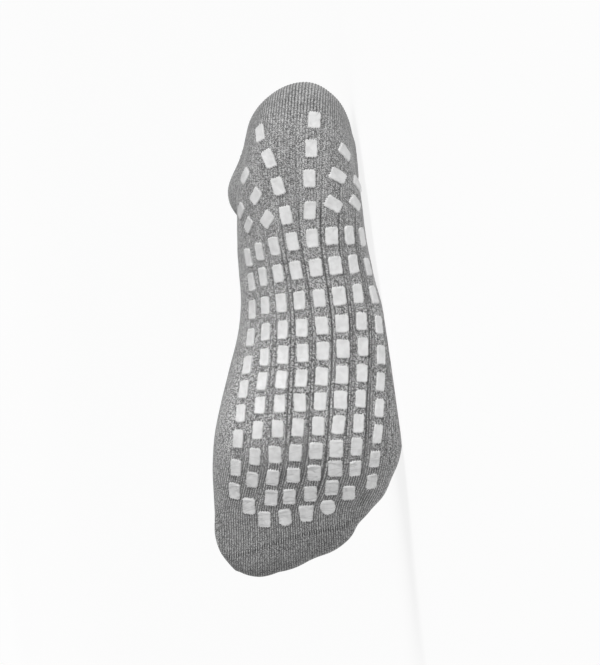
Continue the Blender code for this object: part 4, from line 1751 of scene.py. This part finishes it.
    def _one(self, pad: PadPlace) -> tuple[np.ndarray, list]:
        """Shape one pad on the knit.

        Args:
            pad: Its place and outline.

        Returns:
            Its vertices in the frame of the foot, and its faces.
        """
        step = 2.0 * MM
        ahead, _ = self.surface.read(pad.run + step, pad.side)
        back, _ = self.surface.read(pad.run - step, pad.side)
        right, _ = self.surface.read(pad.run, pad.side + step)
        left, _ = self.surface.read(pad.run, pad.side - step)
        to_heel = (ahead - back) / (2.0 * step)
        to_inner = (right - left) / (2.0 * step)
        normal = np.cross(to_heel, to_inner)
        normal = normal / np.linalg.norm(normal)
        long_way = -to_heel / np.linalg.norm(to_heel)
        short_way = np.cross(long_way, normal)
        # How far to go along and across the knit for a step on the surface
        ways = np.linalg.pinv(np.column_stack([to_heel, to_inner]))
        turn = math.radians(pad.turn + 1.5 * self.random.standard_normal())
        edge = self._outline(pad.shape, pad.long_share, pad.wide_share)
        edge[:, 1] += pad.skew * edge[:, 0]
        rings = self._rings(edge, 0.5 * self.width * pad.wide_share)
        cos = math.cos(turn)
        sin = math.sin(turn)
        vertices = []
        for local, high in rings:
            reach = ((local[:, :1] * cos - local[:, 1:] * sin) * long_way
                     + (local[:, :1] * sin + local[:, 1:] * cos) * short_way)
            moves = reach @ ways.T
            points, normals = self.surface.read(pad.run + moves[:, 0], pad.side + moves[:, 1])
            vertices.append(points + np.asarray(high)[:, None] * normals)
        n = len(edge)
        last = (len(rings) - 2) * n
        faces = [tuple(range(n))]
        for r in range(len(rings) - 2):
            faces += [(d, a, b, c) for a, b, c, d in ring_quads(r * n, (r + 1) * n, n)]
        faces += [(last + n, last + (j + 1) % n, last + j) for j in range(n)]
        return np.vstack(vertices), faces

    def _rings(self, edge: np.ndarray, half_w: float) -> list[tuple[np.ndarray, np.ndarray]]:
        """Raise a pad from its edge, in rings up to its middle.

        Args:
            edge: Points of its edge, of length and width from its middle.
            half_w: Half its width, in metres.

        Returns:
            For each ring its points and their heights over the knit, the last a single point.
        """
        profile = ((0.0, -self.root / self.height),) + PAD_PROFILE
        bulge = self.height * (1.0 + 0.06 * self.random.standard_normal())
        tilt = 0.05 * self.random.standard_normal(2)
        seed = int(self.random.integers(1e6))
        inner_most = profile[-1][0]
        rings = []
        for inset, rise in profile:
            shrink = 1.0 - inset * half_w / np.hypot(edge[:, 0], edge[:, 1])
            straight = edge * shrink[:, None]
            # Inner rings keep the rectangle's shape rather than the round of the shrink
            by_side = edge * (1.0 - inset * np.array([half_w / (0.5 * self.length), 1.0]))
            local = 0.25 * straight + 0.75 * by_side
            lumps = 0.09 * inset / inner_most * drift(local[:, 0] / MM, local[:, 1] / MM, 1.6, seed)
            lift = rise + lumps + tilt[0] * local[:, 0] / half_w + tilt[1] * local[:, 1] / half_w
            high = bulge * (lift if rise > 0 else rise)
            rings.append((local, np.broadcast_to(high, len(edge))))
        rings.append((np.zeros((1, 2)), np.array([bulge * profile[-1][1]])))
        return rings

    def build(self, finish: bpy.types.Material) -> list[bpy.types.Object]:
        """Print the pads, one piece for each row and one for the heel.

        Args:
            finish: The silicone.

        Returns:
            The pieces.
        """
        places = self.places()
        made = []
        for row in range(len(PAD_ROWS) + 1):
            vertices = []
            faces = []
            count = 0
            for pad in [place for place in places if place.row == row]:
                points, pad_faces = self._one(pad)
                faces += [tuple(count + v for v in face) for face in pad_faces]
                vertices.append(points)
                count += len(points)
            name = "heel_pads" if row == len(PAD_ROWS) else f"pad_row_{row + 1:02d}"
            placed = self.placing.place(np.vstack(vertices))
            piece = make_object(name, placed, faces, finish)
            bent = self.bent_rows[row] if row < len(PAD_ROWS) else 0.0
            point_values(piece, "bent", np.full(len(placed), bent))
            made.append(piece)
        return made


@dataclass
class RibbedCuff:
    """The band round the top, knitted in one by one rib with a turned edge."""

    form: SockForm
    placing: Placing
    ribs: int = 80
    samples: int = 8
    rows: int = 15
    edge_steps: int = 6
    rib_depth: float = 0.50 * MM
    # How far the rib draws in, and how unevenly
    draw_in: float = 0.7 * MM
    unevenness: float = 0.25 * MM

    def _grid(self, inside: bool) -> np.ndarray:
        """Lay the outer or the inner side of the band.

        Args:
            inside: Whether it is the inner side.

        Returns:
            The points, the last column the same as the first.
        """
        sizes = self.form.sizes
        places = np.linspace(self.form.cuff_base, self.form.cuff_top, self.rows)
        columns = self.ribs * self.samples
        share = np.arange(columns + 1) / columns - 0.5
        rings = np.array([self.form.along(t, share * self.form.girth(t)) for t in places])
        normals = closed_normals(rings)
        normals[:, :, 2] = 0.0
        normals /= np.linalg.norm(normals, axis=2, keepdims=True)
        proud = 0.5 * (sizes.cuff_wall - sizes.knit_wall)
        phase = 2.0 * math.pi * self.ribs * share
        wave = np.cos(phase + (math.pi if inside else 0.0))
        rib = self.rib_depth * (0.5 * np.sign(wave) * np.abs(wave) ** 0.7 - 0.35)
        height = np.linspace(0.0, 1.0, self.rows)[:, None]
        snug = self.unevenness * drift(share[None, :] * 200.0, height * 25.0, 22.0, 31)
        off = proud - self.draw_in + rib[None, :] * (-1.0 if inside else 1.0) + snug
        if inside:
            off = off - sizes.cuff_wall
        return rings + off[:, :, None] * normals

    def build(self, finish: bpy.types.Material) -> bpy.types.Object:
        """Build the cuff as one closed band.

        Args:
            finish: The rib knit.

        Returns:
            The piece.
        """
        outer = self._grid(False)
        inner = self._grid(True)
        columns = self.ribs * self.samples
        # The turned edge: half a turn from the outer side to the inner one
        middle = 0.5 * (outer[-1] + inner[-1])
        arm = 0.5 * (outer[-1] - inner[-1])
        thick = np.linalg.norm(arm, axis=1, keepdims=True)
        up = np.array([0.0, 0.0, 1.0])
        edge = []
        for s in range(1, self.edge_steps):
            angle = math.pi * s / self.edge_steps
            edge.append(middle + math.cos(angle) * arm + 0.8 * math.sin(angle) * thick * up)
        loops = np.concatenate([outer, np.array(edge), inner[::-1]])
        total = len(loops)
        placed = self.placing.place(loops[:, :-1])
        faces = []
        corners = []
        length = np.concatenate([[0.0], np.cumsum(
            np.linalg.norm(np.diff(loops, axis=0), axis=2).mean(axis=1))]) / MM
        wale = 2.0 * np.arange(columns + 1) / self.samples
        for i in range(total):
            n = (i + 1) % total
            faces += ring_quads(i * columns, n * columns, columns)
            high = length[n] if n else length[i] + 2.0
            corners += quad_corners(np.column_stack([wale, np.full(columns + 1, length[i])]),
                                    np.column_stack([wale, np.full(columns + 1, high)]))
        made = make_object("ribbed_cuff", placed, faces, finish)
        corner_map(made, "knit", np.array(corners))
        share = np.arange(columns) / self.samples
        valley = smooth(np.cos(2.0 * math.pi * (share - 0.5 * self.ribs)), 0.1, -0.9)
        # Painted shade in the valleys between the ribs
        point_values(made, "groove_shade", np.tile(0.55 * valley, total))
        for name, value in (("rib", 0.25), ("tone", 0.98), ("mottle", 0.8), ("seam", NO_SEAM)):
            point_values(made, name, np.full(total * columns, value))
        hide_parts("cuff")
        return made


@dataclass
class Studio:
    """A wide pale floor under an even sky, soft lamps and the camera."""

    placing: Placing
    floor_half: float = 30.0
    floor_glow: float = 0.92
    # The camera looks straight at the sole, with the heel up
    distance: float = 4.5
    mm_per_pixel: float = 0.504
    aim_along: float = 126.3 * MM
    aim_side: float = 5.0 * MM
    aim_height: float = 20.0 * MM
    sensor: float = 36.0
    key_from: tuple[float, float, float] = (0.60, -0.62, 0.50)
    key_strength: float = 2.4
    key_spread: float = 38.0

    def build_floor(self) -> None:
        """Lay the floor."""
        half = self.floor_half
        mesh = bpy.data.meshes.new("studio_floor")
        mesh.from_pydata([(-half, -half, 0), (half, -half, 0), (half, half, 0), (-half, half, 0)],
                         [], [(0, 1, 2, 3)])
        made = bpy.data.objects.new("studio_floor", mesh)
        bpy.context.scene.collection.objects.link(made)
        # Opal acrylic lit from below: pale, with hardly a shadow
        finish, tree, shader = blank_material("lit_opal_acrylic_matt_sanded")
        grain = add_node(tree, "ShaderNodeTexNoise", {"Scale": 3.0, "Detail": 2.0})
        tone = add_node(tree, "ShaderNodeValToRGB", {0: grain.outputs["Fac"]})
        set_ramp(tone, ((0.3, "F2F2F2"), (0.7, "F6F6F6")))
        feed(tree, shader, {"Emission Color": tone, "Emission Strength": self.floor_glow,
                            "Base Color": linear("7C7C7C"), "Roughness": 0.95,
                            "Specular IOR Level": 0.0})
        mesh.materials.append(finish)

    def build_lamps(self) -> None:
        """Light the sock softly from above and from the heel's side, with a bright horizon."""
        world = bpy.data.worlds.new("studio_air")
        bpy.context.scene.world = world
        world.use_nodes = True
        tree = world.node_tree
        place = add_node(tree, "ShaderNodeTexCoord")
        parts = add_node(tree, "ShaderNodeSeparateXYZ", {0: place.outputs["Generated"]})
        sky = add_node(tree, "ShaderNodeValToRGB", {0: parts.outputs["Z"]})
        set_ramp(sky, ((0.0, "FAFAFA"), (0.06, "F8F8F8"), (0.30, "A0A0A0"), (1.0, "A0A0A0")))
        feed(tree, tree.nodes["Background"], {"Color": sky})
        data = bpy.data.lights.new("key", "SUN")
        data.energy = self.key_strength
        data.angle = math.radians(self.key_spread)
        lamp = bpy.data.objects.new("key", data)
        lamp.rotation_euler = (-Vector(self.key_from)).to_track_quat("-Z", "Y").to_euler()
        bpy.context.scene.collection.objects.link(lamp)

    def build_camera(self) -> None:
        """Set the camera up square to the sole, rolled so that the heel is up."""
        look = self.placing.aim(np.array([[0.0, 0.0, 1.0]]))[0]
        up = self.placing.aim(np.array([[-1.0, 0.0, 0.0]]))[0]
        right = np.cross(look, up)
        target = self.placing.place(np.array([[self.aim_along, self.aim_side, self.aim_height]]))[0]
        spot = target - self.distance * look
        frame_height = IMAGE_HEIGHT * self.mm_per_pixel * MM
        data = bpy.data.cameras.new("camera")
        data.sensor_fit = "AUTO"
        data.sensor_width = self.sensor
        data.lens = self.sensor * self.distance / frame_height
        data.clip_start = 0.1
        data.clip_end = 60.0
        camera = bpy.data.objects.new("camera", data)
        axes = Matrix((right, up, -look)).transposed().to_4x4()
        camera.matrix_world = Matrix.Translation(Vector(spot)) @ axes
        bpy.context.scene.collection.objects.link(camera)
        bpy.context.scene.camera = camera


def main() -> None:
    """Build the sock, then the studio round it."""
    logging.basicConfig(level=logging.INFO, format="%(name)s %(message)s")
    bpy.context.scene.view_settings.view_transform = "Standard"
    form = SockForm()
    placing = Placing(form)
    knit = HeatherKnit().build()
    silicone = PrintedSilicone().build()
    KnitBody(form, placing, Gauge()).build(knit)
    GripPads(form, placing).build(silicone)
    RibbedCuff(form, placing).build(knit)
    studio = Studio(placing)
    studio.build_floor()
    studio.build_lamps()
    studio.build_camera()


if __name__ == "__main__":
    main()
